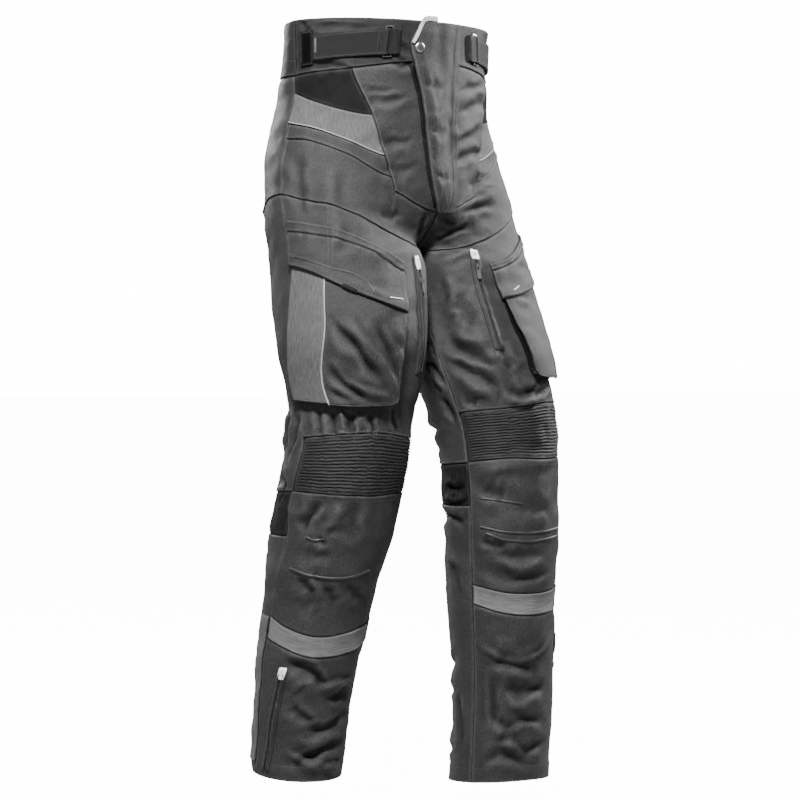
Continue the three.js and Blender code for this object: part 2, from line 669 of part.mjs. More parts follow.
function addSlider(side, spot) {
  const place = ventZips[side].top + slider.below;
  const { point, out } = spot(place, 0);
  const down = spot(place + 6, 0).point.sub(spot(place - 6, 0).point);
  down.addScaledVector(out, -down.dot(out)).normalize();
  const across = new THREE.Vector3().crossVectors(out, down);
  const origin = point.clone().addScaledVector(out, ventZip.gap + ventZip.thick + layerGap);
  const frame = new THREE.Matrix4().makeBasis(down, out, new THREE.Vector3().crossVectors(down, out));
  frame.setPosition(origin);
  const outline = new THREE.Shape();
  const { archRadius, foot, axisHeight, length } = slider;
  outline.moveTo(-length / 2, 0);
  outline.lineTo(length / 2, 0);
  outline.lineTo(length / 2, foot);
  outline.lineTo(archRadius, foot);
  outline.lineTo(archRadius, axisHeight);
  outline.absarc(0, axisHeight, archRadius, 0, Math.PI, false);
  outline.lineTo(-archRadius, foot);
  outline.lineTo(-length / 2, foot);
  outline.closePath();
  const hole = new THREE.Path();
  hole.absarc(0, axisHeight, slider.holeRadius, 0, 2 * Math.PI, true);
  outline.holes.push(hole);
  const shape = new THREE.ExtrudeGeometry(outline, { depth: slider.width, bevelEnabled: false, curveSegments: 8 });
  shape.translate(0, 0, -slider.width / 2);
  shape.applyMatrix4(frame);
  const body = new THREE.Mesh(shape);
  body.name = `vent_slider_${side}`;
  trousers.add(body);
  const plate = new THREE.Shape();
  const half = pull.width / 2;
  plate.moveTo(-pull.bar, -half);
  plate.lineTo(pull.length - 1.5, -half);
  plate.lineTo(pull.length, -half + 1.5);
  plate.lineTo(pull.length, half - 1.5);
  plate.lineTo(pull.length - 1.5, half);
  plate.lineTo(-pull.bar, half);
  plate.closePath();
  const slot = new THREE.Path();
  const slotHalf = pull.windowWidth / 2;
  slot.moveTo(pull.bar, -slotHalf);
  slot.lineTo(pull.bar, slotHalf);
  slot.lineTo(pull.windowEnd, slotHalf);
  slot.lineTo(pull.windowEnd, -slotHalf);
  slot.closePath();
  plate.holes.push(slot);
  const tab = new THREE.ExtrudeGeometry(plate, { depth: pull.thick, bevelEnabled: false });
  tab.translate(0, 0, -pull.thick / 2);
  const pivot = origin.clone().addScaledVector(out, axisHeight);
  const tabFrame = new THREE.Matrix4().makeBasis(down, across, new THREE.Vector3().crossVectors(down, across));
  tabFrame.setPosition(pivot);
  tab.applyMatrix4(tabFrame);
  const handle = new THREE.Mesh(tab);
  handle.name = `vent_pull_${side}`;
  trousers.add(handle);
}

// Waist adjuster: a strap that folds back round one bar of a ring, and a sewn tab round the other
const ring = { near: 2.8, far: 3.28, bar: 0.08, low: 2.1, high: 4.1 };

function addAdjuster(side) {
  const top = R["strap top"];
  const foot = R["strap foot"];
  const edges = [top + 0.05, foot - 0.05];
  const thick = 1.2;
  const loop = (bend, sign, start, columns, flat, finish) => {
    const turnIn = bend + sign * 0.02;
    const turnOut = bend - sign * 0.035;
    const outer = [[start, 0.5], ...columns.map((c) => [c, 0.5]), [bend + sign * 0.06, 0.5], [turnOut + sign * 0.01, 1.5],
      [turnOut, 3.1], [turnOut + sign * 0.01, 4.9], [bend + sign * 0.06, 5.7]];
    const inner = [[start, 0.5 + thick], ...columns.map((c) => [c, 0.5 + thick]), [bend + sign * 0.07, 0.5 + thick],
      [turnIn, 2.1], [turnIn, 3.1], [turnIn, 4.1], [bend + sign * 0.07, 4.5]];
    for (const c of [...columns].reverse()) {
      if (sign * (finish - c) > 0) {
        outer.push([c, flat + thick]);
        inner.push([c, flat]);
      }
    }
    outer.push([finish, flat + thick]);
    inner.push([finish, flat]);
    return [outer, inner];
  };
  const strap = loop(ring.far - ring.bar - 0.03, 1, 11.2, range(11, 4), 2.2, 10.1);
  addRibbon(`waist_strap_${side}`, side, edges, ...strap);
  const tab = loop(ring.near + ring.bar + 0.03, -1, 2.3, [], 2.6, 2.36);
  addRibbon(`ring_tab_${side}`, side, edges, ...tab);
  const corners = (row0, row1, col0, col1) => [[row0, col0], [row1, col0], [row1, col1], [row0, col1]];
  const outside = corners(top - 0.14, foot + 0.14, ring.near, ring.far);
  const inside = corners(top - 0.05, foot + 0.05, ring.near + ring.bar, ring.far - ring.bar);
  const points = [];
  for (const [row, col] of [...outside, ...inside]) {
    const spot = facet(side, "front", row, col);
    points.push(raised(spot, ring.high), raised(spot, ring.low));
  }
  const faces = [];
  for (let k = 0; k < 4; k += 1) {
    const n = (k + 1) % 4;
    const [a, b, c, d] = [2 * k, 2 * n, 8 + 2 * n, 8 + 2 * k];
    faces.push(...quad(a, b, c, d), ...quad(d + 1, c + 1, b + 1, a + 1));
    faces.push(...quad(a + 1, b + 1, b, a), ...quad(d, c, c + 1, d + 1));
  }
  addBody(`waist_ring_${side}`, points, faces);
}

// Light strip down the calf behind the side seam
function addCalfStrip(side) {
  const rowList = [...range(R["band top"], R.hem - 1), R.hem - 0.35];
  const upper = { rowList, columnList: [0.05, 1, 1.25], height: () => layerGap + 1.2 };
  const lower = { rowList, columnList: [0.05, 1, 1.25], height: () => layerGap };
  addLayer(`calf_strip_${side}`, side, "back", upper, lower);
}

for (const side of ["right", "left"]) {
  addPocket(side);
  const spot = addZip("vent_zip", side, ventZips[side]);
  addSlider(side, spot);
  addZip("hem_zip", side, hemZip);
  addAdjuster(side);
  addCalfStrip(side);
}

// Fly cover over the middle of the front, from its free edge on the right to its sewn edge on the left
const flyEdges = [
  { down: 1, right: 0.052, left: 0.085 },
  { down: 28, right: 0.09, left: 0.08 },
  { down: 56, right: 0.082, left: 0.075 },
  { down: 90, right: 0.066, left: 0.069 },
  { down: 130, right: 0.055, left: 0.062 },
  { down: 175, right: 0.045, left: 0.056 },
  { down: 218, right: 0.034, left: 0.055 },
  { down: 250, right: 0.02, left: 0.054 },
  { down: 268, right: 0.006, left: 0.046 },
];
const fly = { gap: 1.1, thick: 2.4, puff: 2 };

function flySpot(down, share) {
  const right = column(flyEdges, "right", down);
  const left = column(flyEdges, "left", down);
  const turn = share * (right + left) - right;
  return place(turn < 0 ? "right" : "left", Math.abs(turn), down);
}

const flyShares = [0, 0.08, 0.25, 0.42, 0.58, 0.75, 0.92, 1];
const flyPuff = [0, 0.6, 1, 1, 0.8, 0.5, 0.2, 0];
const flyNet = (base) => flyEdges.map(({ down }) => flyShares.map(
  (share, j) => raised(flySpot(down, share), base + fly.puff * flyPuff[j])));
addSheet("fly_cover", flyNet(fly.gap + fly.thick), flyNet(fly.gap));

// Snap button of the waistband, and the light tape round the corner of the fly cover
const snap = { down: 36, share: 0.14, radius: 7, height: 3 };
const snapSpot = flySpot(snap.down, snap.share);
const snapShape = new THREE.LatheGeometry([
  [0, 0], [snap.radius, 0], [snap.radius, 1.2], [0.75 * snap.radius, 2.4], [0.35 * snap.radius, 2.9], [0, snap.height],
].map(([x, y]) => new THREE.Vector2(x, y)), 20);
snapShape.applyQuaternion(new THREE.Quaternion().setFromUnitVectors(new THREE.Vector3(0, 1, 0), snapSpot.out));
snapShape.translate(...raised(snapSpot, fly.gap + fly.thick + fly.puff + 0.5).toArray());
const snapMesh = new THREE.Mesh(snapShape);
snapMesh.name = "fly_snap";
trousers.add(snapMesh);

const tapePath = [[0.093, 30], [0.082, 20], [0.055, -6], [0.035, -6]];
const tapeInner = [[0.084, 33], [0.072, 23], [0.052, 2], [0.035, 2]];
const tapeNet = (height) => [tapePath, tapeInner].map((path) => path.map(
  ([turn, down]) => raised(place("right", turn, down), height)));
addSheet("fly_tape", tapeNet(6.2), tapeNet(5));

export default trousers;
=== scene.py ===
import math
import bpy
import mathutils
import numpy as np
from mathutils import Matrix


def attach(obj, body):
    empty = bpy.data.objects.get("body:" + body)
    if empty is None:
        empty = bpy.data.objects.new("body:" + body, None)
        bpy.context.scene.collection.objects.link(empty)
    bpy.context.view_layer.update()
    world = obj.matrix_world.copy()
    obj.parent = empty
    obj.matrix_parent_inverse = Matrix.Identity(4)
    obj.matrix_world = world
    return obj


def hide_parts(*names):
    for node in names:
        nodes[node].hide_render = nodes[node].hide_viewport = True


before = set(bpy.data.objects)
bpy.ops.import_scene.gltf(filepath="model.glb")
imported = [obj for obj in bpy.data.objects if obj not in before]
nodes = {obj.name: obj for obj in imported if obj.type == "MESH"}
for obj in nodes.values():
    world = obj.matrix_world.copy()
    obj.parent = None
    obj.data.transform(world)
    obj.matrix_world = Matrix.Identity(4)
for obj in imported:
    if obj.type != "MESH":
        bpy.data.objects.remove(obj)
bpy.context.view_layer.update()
print("frame loaded:", len(nodes), "nodes")

# Lengths are in millimetres while shapes are worked out, and go into the meshes in metres.
# Two numbers name a place on the cloth, as in the part's source: "turn" runs round one half of the body
# or one leg, from 0 at the centre front and the inseam, over 0.5 at the side seam, to 1 at the centre back
# and the inseam again, and "down" is the distance below the waist edge along the side seam.
crotchDown = 342
hemDown = 1045
legTopDown = 200
frontColumns = {"centre": 5, "strip": 10, "side": 12}
backColumns = 10


def table(names, rows):
    return dict(zip(names.split(), np.array(rows, float).T))


torso = table("down side front back shift", [
    (0, 160, 108, 100, 1),
    (60, 158, 110, 112, 3),
    (120, 160, 115, 134, 4),
    (190, 174, 117, 146, 4),
    (260, 187, 116, 136, -2),
    (342, 196, 100, 118, -9),
])
fork = table("down middle outside rise", [
    (0, 0, 0, 0),
    (110, 0, 0, 0),
    (210, 0, 0.32, 0),
    (250, 0.06, 0.54, 0),
    (290, 0.26, 0.78, 2),
    (320, 0.58, 0.93, 8),
    (342, 1, 1, 14),
    (430, 1, 1, 16),
    (600, 1, 1, 4),
    (1045, 1, 1, 0),
])
legs = {}
legs["hips"] = table("down out fore width front back tilt drop", [
    (200, 98, -9, 99, 104, 112, 0, 200),
    (342, 99, -23, 97, 108, 104, 6, 339),
    (430, 102, -44, 96, 100, 98, 9, 422),
])
legs["right"] = table("down out fore width front back tilt drop", [
    (342, 99, -23, 97, 108, 104, 6, 339),
    (430, 102, -38, 96, 110, 99, 8, 433),
    (520, 102, -49, 87, 89, 89, 8, 529),
    (600, 113, -47, 84, 86, 87, 6, 613),
    (680, 122, -33, 82, 86, 84, 0, 694),
    (760, 130, -15, 75, 78, 76, -5, 773),
    (830, 134, -3, 70, 71, 71, -7, 840),
    (900, 137, 6, 67, 66, 68, -7, 900),
    (980, 139, 16, 64, 63, 65, -6, 969),
    (1045, 142, 22, 61, 60, 61, -6, 1030),
])
legs["left"] = table("down out fore width front back tilt drop", [
    (342, 99, -23, 97, 108, 104, 6, 339),
    (430, 99, -52, 94, 96, 100, 10, 412),
    (520, 102, -84, 90, 96, 96, 12, 500),
    (600, 111, -102, 82, 85, 85, 10, 575),
    (680, 117, -106, 80, 80, 82, 4, 653),
    (760, 123, -101, 78, 80, 80, -2, 734),
    (830, 127, -96, 74, 76, 77, -4, 802),
    (900, 134, -90, 71, 72, 73, -3, 881),
    (980, 140, -82, 70, 70, 72, 1, 976),
    (1045, 141, -76, 69, 69, 70, 4, 1055),
])
seamTurns = table("down inseam right left", [
    (0, 0, 0, 0),
    (240, 4, -4, -2),
    (300, 8, -8, -4),
    (430, 10, 0, 0),
    (500, 12, 8, 2),
    (565, 15, -7, -2),
    (640, 16, 0, 0),
    (700, 16, -4, -1),
    (800, 16, 6, 2),
    (1045, 14, 10, 4),
])
waistSink = table("down round front back", [
    (0, 14, 0, 4),
    (60, 11, 4, 4),
    (160, 5, 4, 2),
    (342, 0, 0, 0),
])
frontLines = table("down right left strip", [
    (0, 0.25, 0.25, 0.4),
    (66, 0.27, 0.27, 0.4),
    (128, 0.214, 0.214, 0.4),
    (187, 0.17, 0.17, 0.39),
    (240, 0.145, 0.145, 0.388),
    (300, 0.187, 0.15, 0.397),
    (352, 0.217, 0.186, 0.412),
    (440, 0.22, 0.208, 0.4),
    (535, 0.22, 0.222, 0.386),
    (600, 0.2, 0.2, 0.39),
    (880, 0.2, 0.2, 0.387),
    (1045, 0.2, 0.2, 0.428),
])
# Lines across the cloth: name, course over the front as (turn, down), height at the centre back, steps to
# the next line, and the left leg's own course where it has one
lines = [
    ("waist edge", [(0, 0), (0.5, 0)], 0, 1),
    ("strap top", [(0, 6), (0.165, 12), (0.405, 22), (0.5, 26)], 12, 1),
    ("strap foot", [(0, 45), (0.165, 50), (0.405, 60), (0.5, 64)], 48, 1),
    ("waistband foot", [(0, 54), (0.1, 56), (0.25, 66), (0.5, 78)], 68, 2),
    ("hip panel top", [(0, 128), (0.215, 134), (0.5, 104)], 120, 2),
    ("hip panel foot", [(0, 180), (0.172, 189), (0.27, 172), (0.365, 157), (0.5, 146)], 172, 1),
    ("welt foot", [(0, 215), (0.16, 219), (0.29, 188), (0.42, 170), (0.5, 168)], 210, 2),
    ("centre panel foot", [(0, 268), (0.03, 266), (0.145, 241), (0.29, 222), (0.5, 206)], 270, 2),
    ("thigh seam", [(0, 342), (0.1, 335), (0.19, 312), (0.33, 272), (0.453, 254), (0.5, 248)], 342, 1),
    ("flap top", [(0, 392), (0.1, 383), (0.217, 356), (0.355, 305), (0.448, 289), (0.5, 284)], 392, 1),
    ("flap hinge", [(0, 404), (0.1, 396), (0.217, 370), (0.355, 322), (0.448, 306), (0.5, 301)], 404, 1),
    ("pocket mouth", [(0, 428), (0.1, 420), (0.233, 404), (0.355, 370), (0.475, 338), (0.5, 334)], 428, 1),
    ("flap foot", [(0, 444), (0.1, 436), (0.233, 419), (0.355, 388), (0.475, 353), (0.5, 349)], 444, 4),
    ("pocket foot", [(0, 506), (0.1, 518), (0.21, 530), (0.33, 530), (0.5, 516)], 506, 1),
    ("knee top", [(0, 574), (0.12, 573), (0.3, 563), (0.5, 562)], 574, 3),
    ("knee foot", [(0, 640), (0.12, 638), (0.25, 640), (0.35, 637), (0.5, 630)], 640, 2),
    ("knee back foot", [(0, 697), (0.5, 690)], 697, 3),
    ("band top", [(0, 797), (0.09, 805), (0.22, 816), (0.33, 821), (0.42, 813), (0.5, 802)], 797, 1,
     [(0, 804), (0.09, 812), (0.2, 814), (0.3, 811), (0.4, 806), (0.5, 802)]),
    ("band foot", [(0, 828), (0.09, 835), (0.2, 846), (0.33, 851), (0.42, 842), (0.5, 833)], 828, 4,
     [(0, 830), (0.09, 839), (0.2, 842), (0.3, 840), (0.4, 836), (0.5, 833)]),
    ("hem", [(0, 1045), (0.5, 1045)], 1045, 0),
]
flyEdges = table("down right left", [
    (1, 0.052, 0.085),
    (28, 0.09, 0.08),
    (56, 0.082, 0.075),
    (90, 0.066, 0.069),
    (130, 0.055, 0.062),
    (175, 0.045, 0.056),
    (218, 0.034, 0.055),
    (250, 0.02, 0.054),
    (268, 0.006, 0.046),
])

# Fullness at the inner thigh, which the solids share, and how much the cloth is uneven everywhere
fullness = {"path": [(0.1, 372), (0.13, 500)], "girth": 560, "halfWidth": 46, "height": 8}
uneven = {"broad": 2.0, "middle": 1.3, "fine": 0.36, "leftShift": 31}
folds = {"gain": 1.8, "steepest": 0.72, "lean": 0.25}

# Creases of each side, and those of both: line of (turn, down) places, width and height, below 0 for a trough
creases = {
    "right": [
        # under the belt and over the front
        ([(0.23, 96), (0.188, 98), (0.145, 96)], 5, -1.6),
        ([(0.23, 108), (0.17, 112), (0.103, 104)], 6, -2),
        ([(0.177, 172), (0.128, 170), (0.083, 166)], 7, -1.6),
        ([(0.19, 206), (0.133, 212), (0.072, 202)], 8, -1.2),
        ([(0.328, 200), (0.362, 266), (0.408, 348)], 12, 2.2),
        ([(0.43, 186), (0.44, 244), (0.453, 280)], 12, -1.8),
        ([(0.035, 272), (0.037, 286), (0.043, 308)], 6, -2.4),
        ([(0.118, 270), (0.163, 278), (0.228, 278)], 9, -1.4),
        ([(0.408, 12), (0.302, 10), (0.215, 14)], 4, -2.2),
        ([(0.338, 18), (0.275, 22), (0.185, 16)], 4, 1.6),
        ([(0.15, 56), (0.12, 62), (0.083, 58)], 4, -3),
        ([(0.138, 22), (0.113, 34), (0.085, 40)], 4, -2.6),
        ([(0.417, 66), (0.34, 62), (0.273, 68)], 5, -1.8),
        ([(0.143, 42), (0.113, 48), (0.083, 50)], 4, 1.8),
        ([(0.463, 2), (0.432, 14), (0.425, 22)], 5, -1.6),
        # below the right pocket, down to the knee
        ([(0.435, 529), (0.445, 541), (0.45, 561)], 5, -2.8),
        ([(0.403, 535), (0.41, 549), (0.41, 565)], 5, -3.6),
        ([(0.35, 535), (0.36, 551), (0.352, 567)], 6, -4.6),
        ([(0.297, 537), (0.3, 547), (0.288, 565)], 5, -2.8),
        ([(0.228, 535), (0.223, 547), (0.203, 563)], 5, -2.2),
        ([(0.375, 531), (0.38, 545), (0.383, 557)], 5, 2.2),
        ([(0.5, 529), (0.532, 555), (0.552, 585)], 6, -5.5),
        ([(0.555, 525), (0.595, 551), (0.6, 579)], 7, 3),
        ([(0.593, 603), (0.537, 623), (0.547, 643)], 7, -3),
        # right shin
        ([(0.4, 643), (0.427, 661), (0.458, 683)], 9, -3.4),
        ([(0.335, 649), (0.357, 667), (0.39, 681)], 10, 2.4),
        ([(0.4, 689), (0.388, 693), (0.37, 699)], 5, -1.6),
        ([(0.295, 643), (0.297, 667), (0.297, 699)], 13, -1.8),
        ([(0.432, 741), (0.395, 751), (0.357, 763)], 7, -2),
        ([(0.403, 741), (0.355, 755), (0.307, 771)], 8, 1.4),
        ([(0.345, 751), (0.32, 761), (0.28, 775)], 8, -1.8),
        ([(0.28, 749), (0.23, 757), (0.175, 771)], 9, -1.8),
        ([(0.443, 707), (0.395, 713), (0.34, 711)], 9, -1.6),
        # right lower leg
        ([(0.415, 863), (0.35, 867), (0.295, 879), (0.255, 905)], 10, -4),
        ([(0.285, 903), (0.228, 895), (0.143, 891)], 8, 3),
        ([(0.238, 919), (0.188, 915), (0.155, 905)], 8, -2.4),
        ([(0.367, 931), (0.328, 945), (0.28, 955)], 9, -2.2),
        ([(0.312, 969), (0.255, 967), (0.19, 959), (0.155, 945)], 8, -3.6),
        ([(0.325, 1017), (0.288, 1007), (0.225, 995), (0.143, 987)], 8, -3.6),
        ([(0.372, 1003), (0.328, 1009), (0.278, 1019), (0.158, 1019)], 7, 2.4),
        ([(0.278, 1023), (0.22, 1017), (0.138, 1013)], 5, -3.6),
        ([(0.328, 983), (0.29, 989), (0.242, 981)], 7, 1.8),
    ],
    "left": [
        # under the belt and over the front
        ([(0.075, 96), (0.13, 86), (0.23, 78)], 6, -1.5),
        ([(0.085, 124), (0.147, 112), (0.25, 100)], 7, -1.8),
        ([(0.037, 166), (0.098, 148), (0.193, 130)], 9, 2),
        ([(0.05, 196), (0.113, 184), (0.195, 176)], 6, -2.8),
        ([(0.09, 268), (0.16, 260), (0.235, 254)], 6, -3.2),
        ([(0.107, 232), (0.17, 218), (0.23, 212)], 8, -1.8),
        ([(0.05, 318), (0.08, 300), (0.135, 288)], 5, -4.2),
        ([(0.013, 276), (0.04, 282), (0.083, 290)], 4, -3.4),
        ([(0.075, 368), (0.11, 354), (0.15, 334)], 7, 2),
        # left thigh
        ([(0.022, 488), (0.055, 496), (0.095, 508), (0.135, 522)], 9, -3.2),
        ([(0.015, 508), (0.052, 522), (0.088, 533), (0.13, 547)], 8, -3.2),
        ([(0.052, 476), (0.092, 484), (0.135, 486)], 10, 2),
        ([(0.03, 533), (0.062, 545), (0.1, 555)], 8, 2.4),
        ([(0.092, 535), (0.11, 547), (0.125, 563)], 6, -3),
        ([(0.14, 541), (0.158, 553), (0.19, 557), (0.255, 543)], 7, -4),
        ([(0.217, 557), (0.26, 551), (0.32, 539)], 6, -2.6),
        ([(0.138, 561), (0.177, 567), (0.238, 561)], 7, 2.2),
        ([(0.02, 561), (0.055, 565)], 6, -2),
        ([(0.077, 428), (0.098, 444), (0.107, 472)], 12, -2.4),
        ([(0.083, 388), (0.085, 412), (0.075, 442)], 10, 2),
        ([(0.993, 478), (0.993, 504)], 8, -3),
        ([(0.953, 502), (0.975, 516), (0.993, 535)], 7, -3.2),
        ([(0.965, 549), (0.97, 569), (0.983, 589)], 8, -2.6),
        ([(0.963, 522), (0.988, 545)], 7, 2.2),
        ([(0.15, 492), (0.163, 504), (0.165, 525)], 7, -2.4),
        # left knee and shin
        ([(0.025, 653), (0.103, 649), (0.288, 641)], 10, 1.8),
        ([(0.028, 677), (0.07, 683), (0.11, 685)], 11, -2.4),
        ([(0.128, 705), (0.185, 701), (0.278, 705)], 12, -1.4),
        ([(0.05, 753), (0.13, 763), (0.235, 757)], 9, -2.2),
        ([(0.025, 741), (0.065, 747), (0.105, 747)], 7, -2),
        ([(0.03, 783), (0.12, 795), (0.265, 785)], 9, -1.8),
        ([(0.088, 773), (0.143, 779), (0.212, 773)], 8, 1.6),
        # left lower leg
        ([(0.007, 881), (0.092, 897), (0.147, 901), (0.23, 891), (0.295, 873)], 4, 2.6),
        ([(0.05, 905), (0.092, 901), (0.145, 905), (0.21, 911)], 8, -4.2),
        ([(0.058, 915), (0.06, 947), (0.065, 981)], 6, -1.8),
        ([(0.088, 929), (0.158, 939), (0.273, 933)], 9, -2.8),
        ([(0.09, 951), (0.158, 953), (0.26, 949)], 9, 2),
        ([(0.058, 967), (0.11, 979), (0.16, 971), (0.265, 975)], 7, -3.2),
        ([(0.062, 997), (0.128, 991), (0.193, 1009), (0.288, 999)], 7, -3),
        ([(0.03, 1021), (0.095, 1011), (0.155, 1019), (0.223, 1025)], 8, -2.8),
        ([(0.09, 1003), (0.138, 1001), (0.195, 999)], 7, 1.8),
        ([(0.92, 939), (0.943, 975), (0.95, 1009)], 8, -1.8),
        ([(0.91, 671), (0.958, 675), (0.993, 671)], 5, -3.6),
        ([(0.897, 685), (0.95, 689), (0.993, 685)], 5, 3),
        ([(0.897, 707), (0.943, 715), (0.98, 721)], 6, -2.6),
        ([(0.89, 773), (0.938, 793), (0.958, 827)], 9, -2),
        # outer side of the left leg, which the picture hides
        ([(0.56, 300), (0.47, 326), (0.42, 352)], 11, -1.8),
        ([(0.42, 545), (0.5, 556), (0.58, 548)], 7, -2.4),
        ([(0.4, 664), (0.48, 682), (0.56, 676)], 9, -2.4),
        ([(0.42, 742), (0.5, 756), (0.6, 748)], 9, -2.2),
        ([(0.38, 900), (0.46, 912), (0.55, 904)], 8, -2.4),
        ([(0.42, 962), (0.5, 980), (0.6, 972)], 8, -2.4),
    ],
    "both": [
        # seat, back of the thigh, behind the knee and calf, the same on both legs
        ([(0.98, 250), (0.86, 262), (0.74, 268)], 10, -2.4),
        ([(0.97, 300), (0.88, 318), (0.78, 330)], 9, -3),
        ([(0.7, 190), (0.8, 226), (0.91, 236)], 13, -1.8),
        ([(0.62, 250), (0.7, 290), (0.8, 300)], 12, 1.6),
        ([(0.94, 372), (0.82, 368), (0.7, 352)], 8, -3),
        ([(0.93, 400), (0.8, 404), (0.66, 386)], 9, -2.4),
        ([(0.62, 424), (0.7, 450), (0.82, 462)], 12, -1.8),
        ([(0.91, 476), (0.78, 492), (0.66, 486)], 10, -2.2),
        ([(0.58, 548), (0.7, 566), (0.84, 556)], 8, -2.8),
        ([(0.6, 584), (0.74, 598), (0.92, 586)], 7, -3),
        ([(0.63, 612), (0.76, 622), (0.88, 616)], 6, -2.4),
        ([(0.66, 572), (0.76, 580), (0.86, 572)], 8, 2),
        ([(0.6, 714), (0.74, 724), (0.9, 712)], 8, -2.8),
        ([(0.64, 744), (0.75, 754), (0.86, 746)], 9, -2),
        ([(0.56, 866), (0.68, 884), (0.82, 876)], 9, -2.4),
        ([(0.92, 900), (0.82, 918), (0.7, 922)], 8, -2.2),
        ([(0.6, 944), (0.74, 954), (0.9, 940)], 9, -2),
        ([(0.6, 980), (0.72, 994), (0.86, 984)], 7, -2.8),
        ([(0.66, 1008), (0.78, 1016), (0.9, 1008)], 6, -2.2),
    ],
}

linePlace = np.concatenate([[0], np.cumsum([line[3] for line in lines[:-1]])]).astype(float)
lineRow = {line[0]: linePlace[k] for k, line in enumerate(lines)}


def curve(xs, ys, x):
    # a smooth line through the rows: each stretch is a cubic, whose slope at a row is the mean of the
    # slopes before and after it, each weighted by the length of the other stretch
    xs, ys = np.asarray(xs, float), np.asarray(ys, float)
    x = np.clip(x, xs[0], xs[-1])
    step = np.diff(xs)
    slope = np.diff(ys) / step
    inner = (slope[:-1] * step[1:] + slope[1:] * step[:-1]) / (step[1:] + step[:-1])
    tangent = np.concatenate([slope[:1], inner, slope[-1:]])
    i = np.clip(np.searchsorted(xs, x, side="right") - 1, 0, len(xs) - 2)
    f = (x - xs[i]) / step[i]
    g = 1 - f
    hold = g * g * (1 + 2 * f) * ys[i] + f * f * (1 + 2 * g) * ys[i + 1]
    return hold + step[i] * f * g * (g * tangent[i] - f * tangent[i + 1])


def column(rows, name, down):
    return curve(rows["down"], rows[name], down)


def form(side, turn, down):
    # a half oval for the hips, blended by the fork's shares into a tilted ring for the leg
    turn, down = np.broadcast_arrays(np.asarray(turn, float), np.asarray(down, float))
    sign = -1 if side == "right" else 1

    def leg(name):
        return np.where(down < crotchDown, column(legs["hips"], name, down), column(legs[side], name, down))

    half = np.cos(math.pi * turn)
    torsoOut = column(torso, "side", down) * np.sin(math.pi * turn)
    depth = np.where(half > 0, column(torso, "front", down), column(torso, "back", down))
    torsoFore = column(torso, "shift", down) - depth * half
    near = np.cos(2 * math.pi * turn) * 0.5 + 0.5
    turned = column(seamTurns, "inseam", down) * near + column(seamTurns, side, down) * (1 - near)
    angle = 2 * math.pi * turn + np.radians(turned)
    lean = np.sin(angle)
    legOut = np.maximum(leg("out") - leg("width") * np.cos(angle), 0)
    legFore = leg("fore") - np.where(lean > 0, leg("front"), leg("back")) * lean
    middle = half**4
    share = column(fork, "middle", down) * middle + column(fork, "outside", down) * (1 - middle)
    share = np.clip(share, 0, 1)
    rise = column(fork, "rise", down) * np.abs(half) ** 3
    sink = np.where(half > 0, column(waistSink, "front", down), column(waistSink, "back", down))
    height = rise + share * leg("tilt") * lean - np.where(down < legTopDown, down, leg("drop"))
    height = height - sink * np.abs(half) - column(waistSink, "round", down)
    across = sign * ((1 - share) * torsoOut + share * legOut)
    return np.stack([across, (1 - share) * torsoFore + share * legFore, height], -1)


def formOver(side, turn, down):
    # the same carried over the seams: round the leg below the crotch, mirrored over the middle above it
    turn, down = np.broadcast_arrays(np.asarray(turn, float), np.asarray(down, float))
    below = down >= crotchDown
    past = (turn < 0) | (turn > 1)
    mirrored = np.where(turn < 0, -turn, np.where(turn > 1, 2 - turn, turn))
    points = form(side, np.where(below, turn - np.floor(turn) * past, mirrored), down)
    points[..., 0] = np.where(past & ~below, -points[..., 0], points[..., 0])
    return points


def smoothStep(x):
    x = np.clip(x, 0, 1)
    return x * x * (3 - 2 * x)


def unit(v):
    return v / np.maximum(np.linalg.norm(v, axis=-1, keepdims=True), 1e-9)


# Length round half the body or one leg at each depth, which turns "turn" into millimetres
girthDowns = np.arange(0, hemDown + 1, 15.0)
girths = {}
for side in ("right", "left"):
    ring = form(side, np.linspace(0, 1, 81)[:, None], girthDowns[None, :])
    girths[side] = np.linalg.norm(np.diff(ring, axis=0), axis=-1).sum(0)


def flat(side, turn, down):
    # the cloth laid flat: millimetres round from the side seam, and millimetres down
    return (np.asarray(turn) - 0.5) * np.interp(down, girthDowns, girths[side]), np.asarray(down, float)


class Noise:
    # values on a square lattice, with a smooth blend between the four round a place
    def __init__(self, seed):
        self.values = np.random.default_rng(seed).uniform(-1, 1, (64, 64))

    def at(self, x, y):
        i, j = np.floor(x).astype(int), np.floor(y).astype(int)
        fx, fy = smoothStep(x - i), smoothStep(y - j)
        v = self.values
        top = v[i % 64, j % 64] * (1 - fx) + v[(i + 1) % 64, j % 64] * fx
        foot = v[i % 64, (j + 1) % 64] * (1 - fx) + v[(i + 1) % 64, (j + 1) % 64] * fx
        return top * (1 - fy) + foot * fy


swell = Noise(3)
ripple = Noise(8)


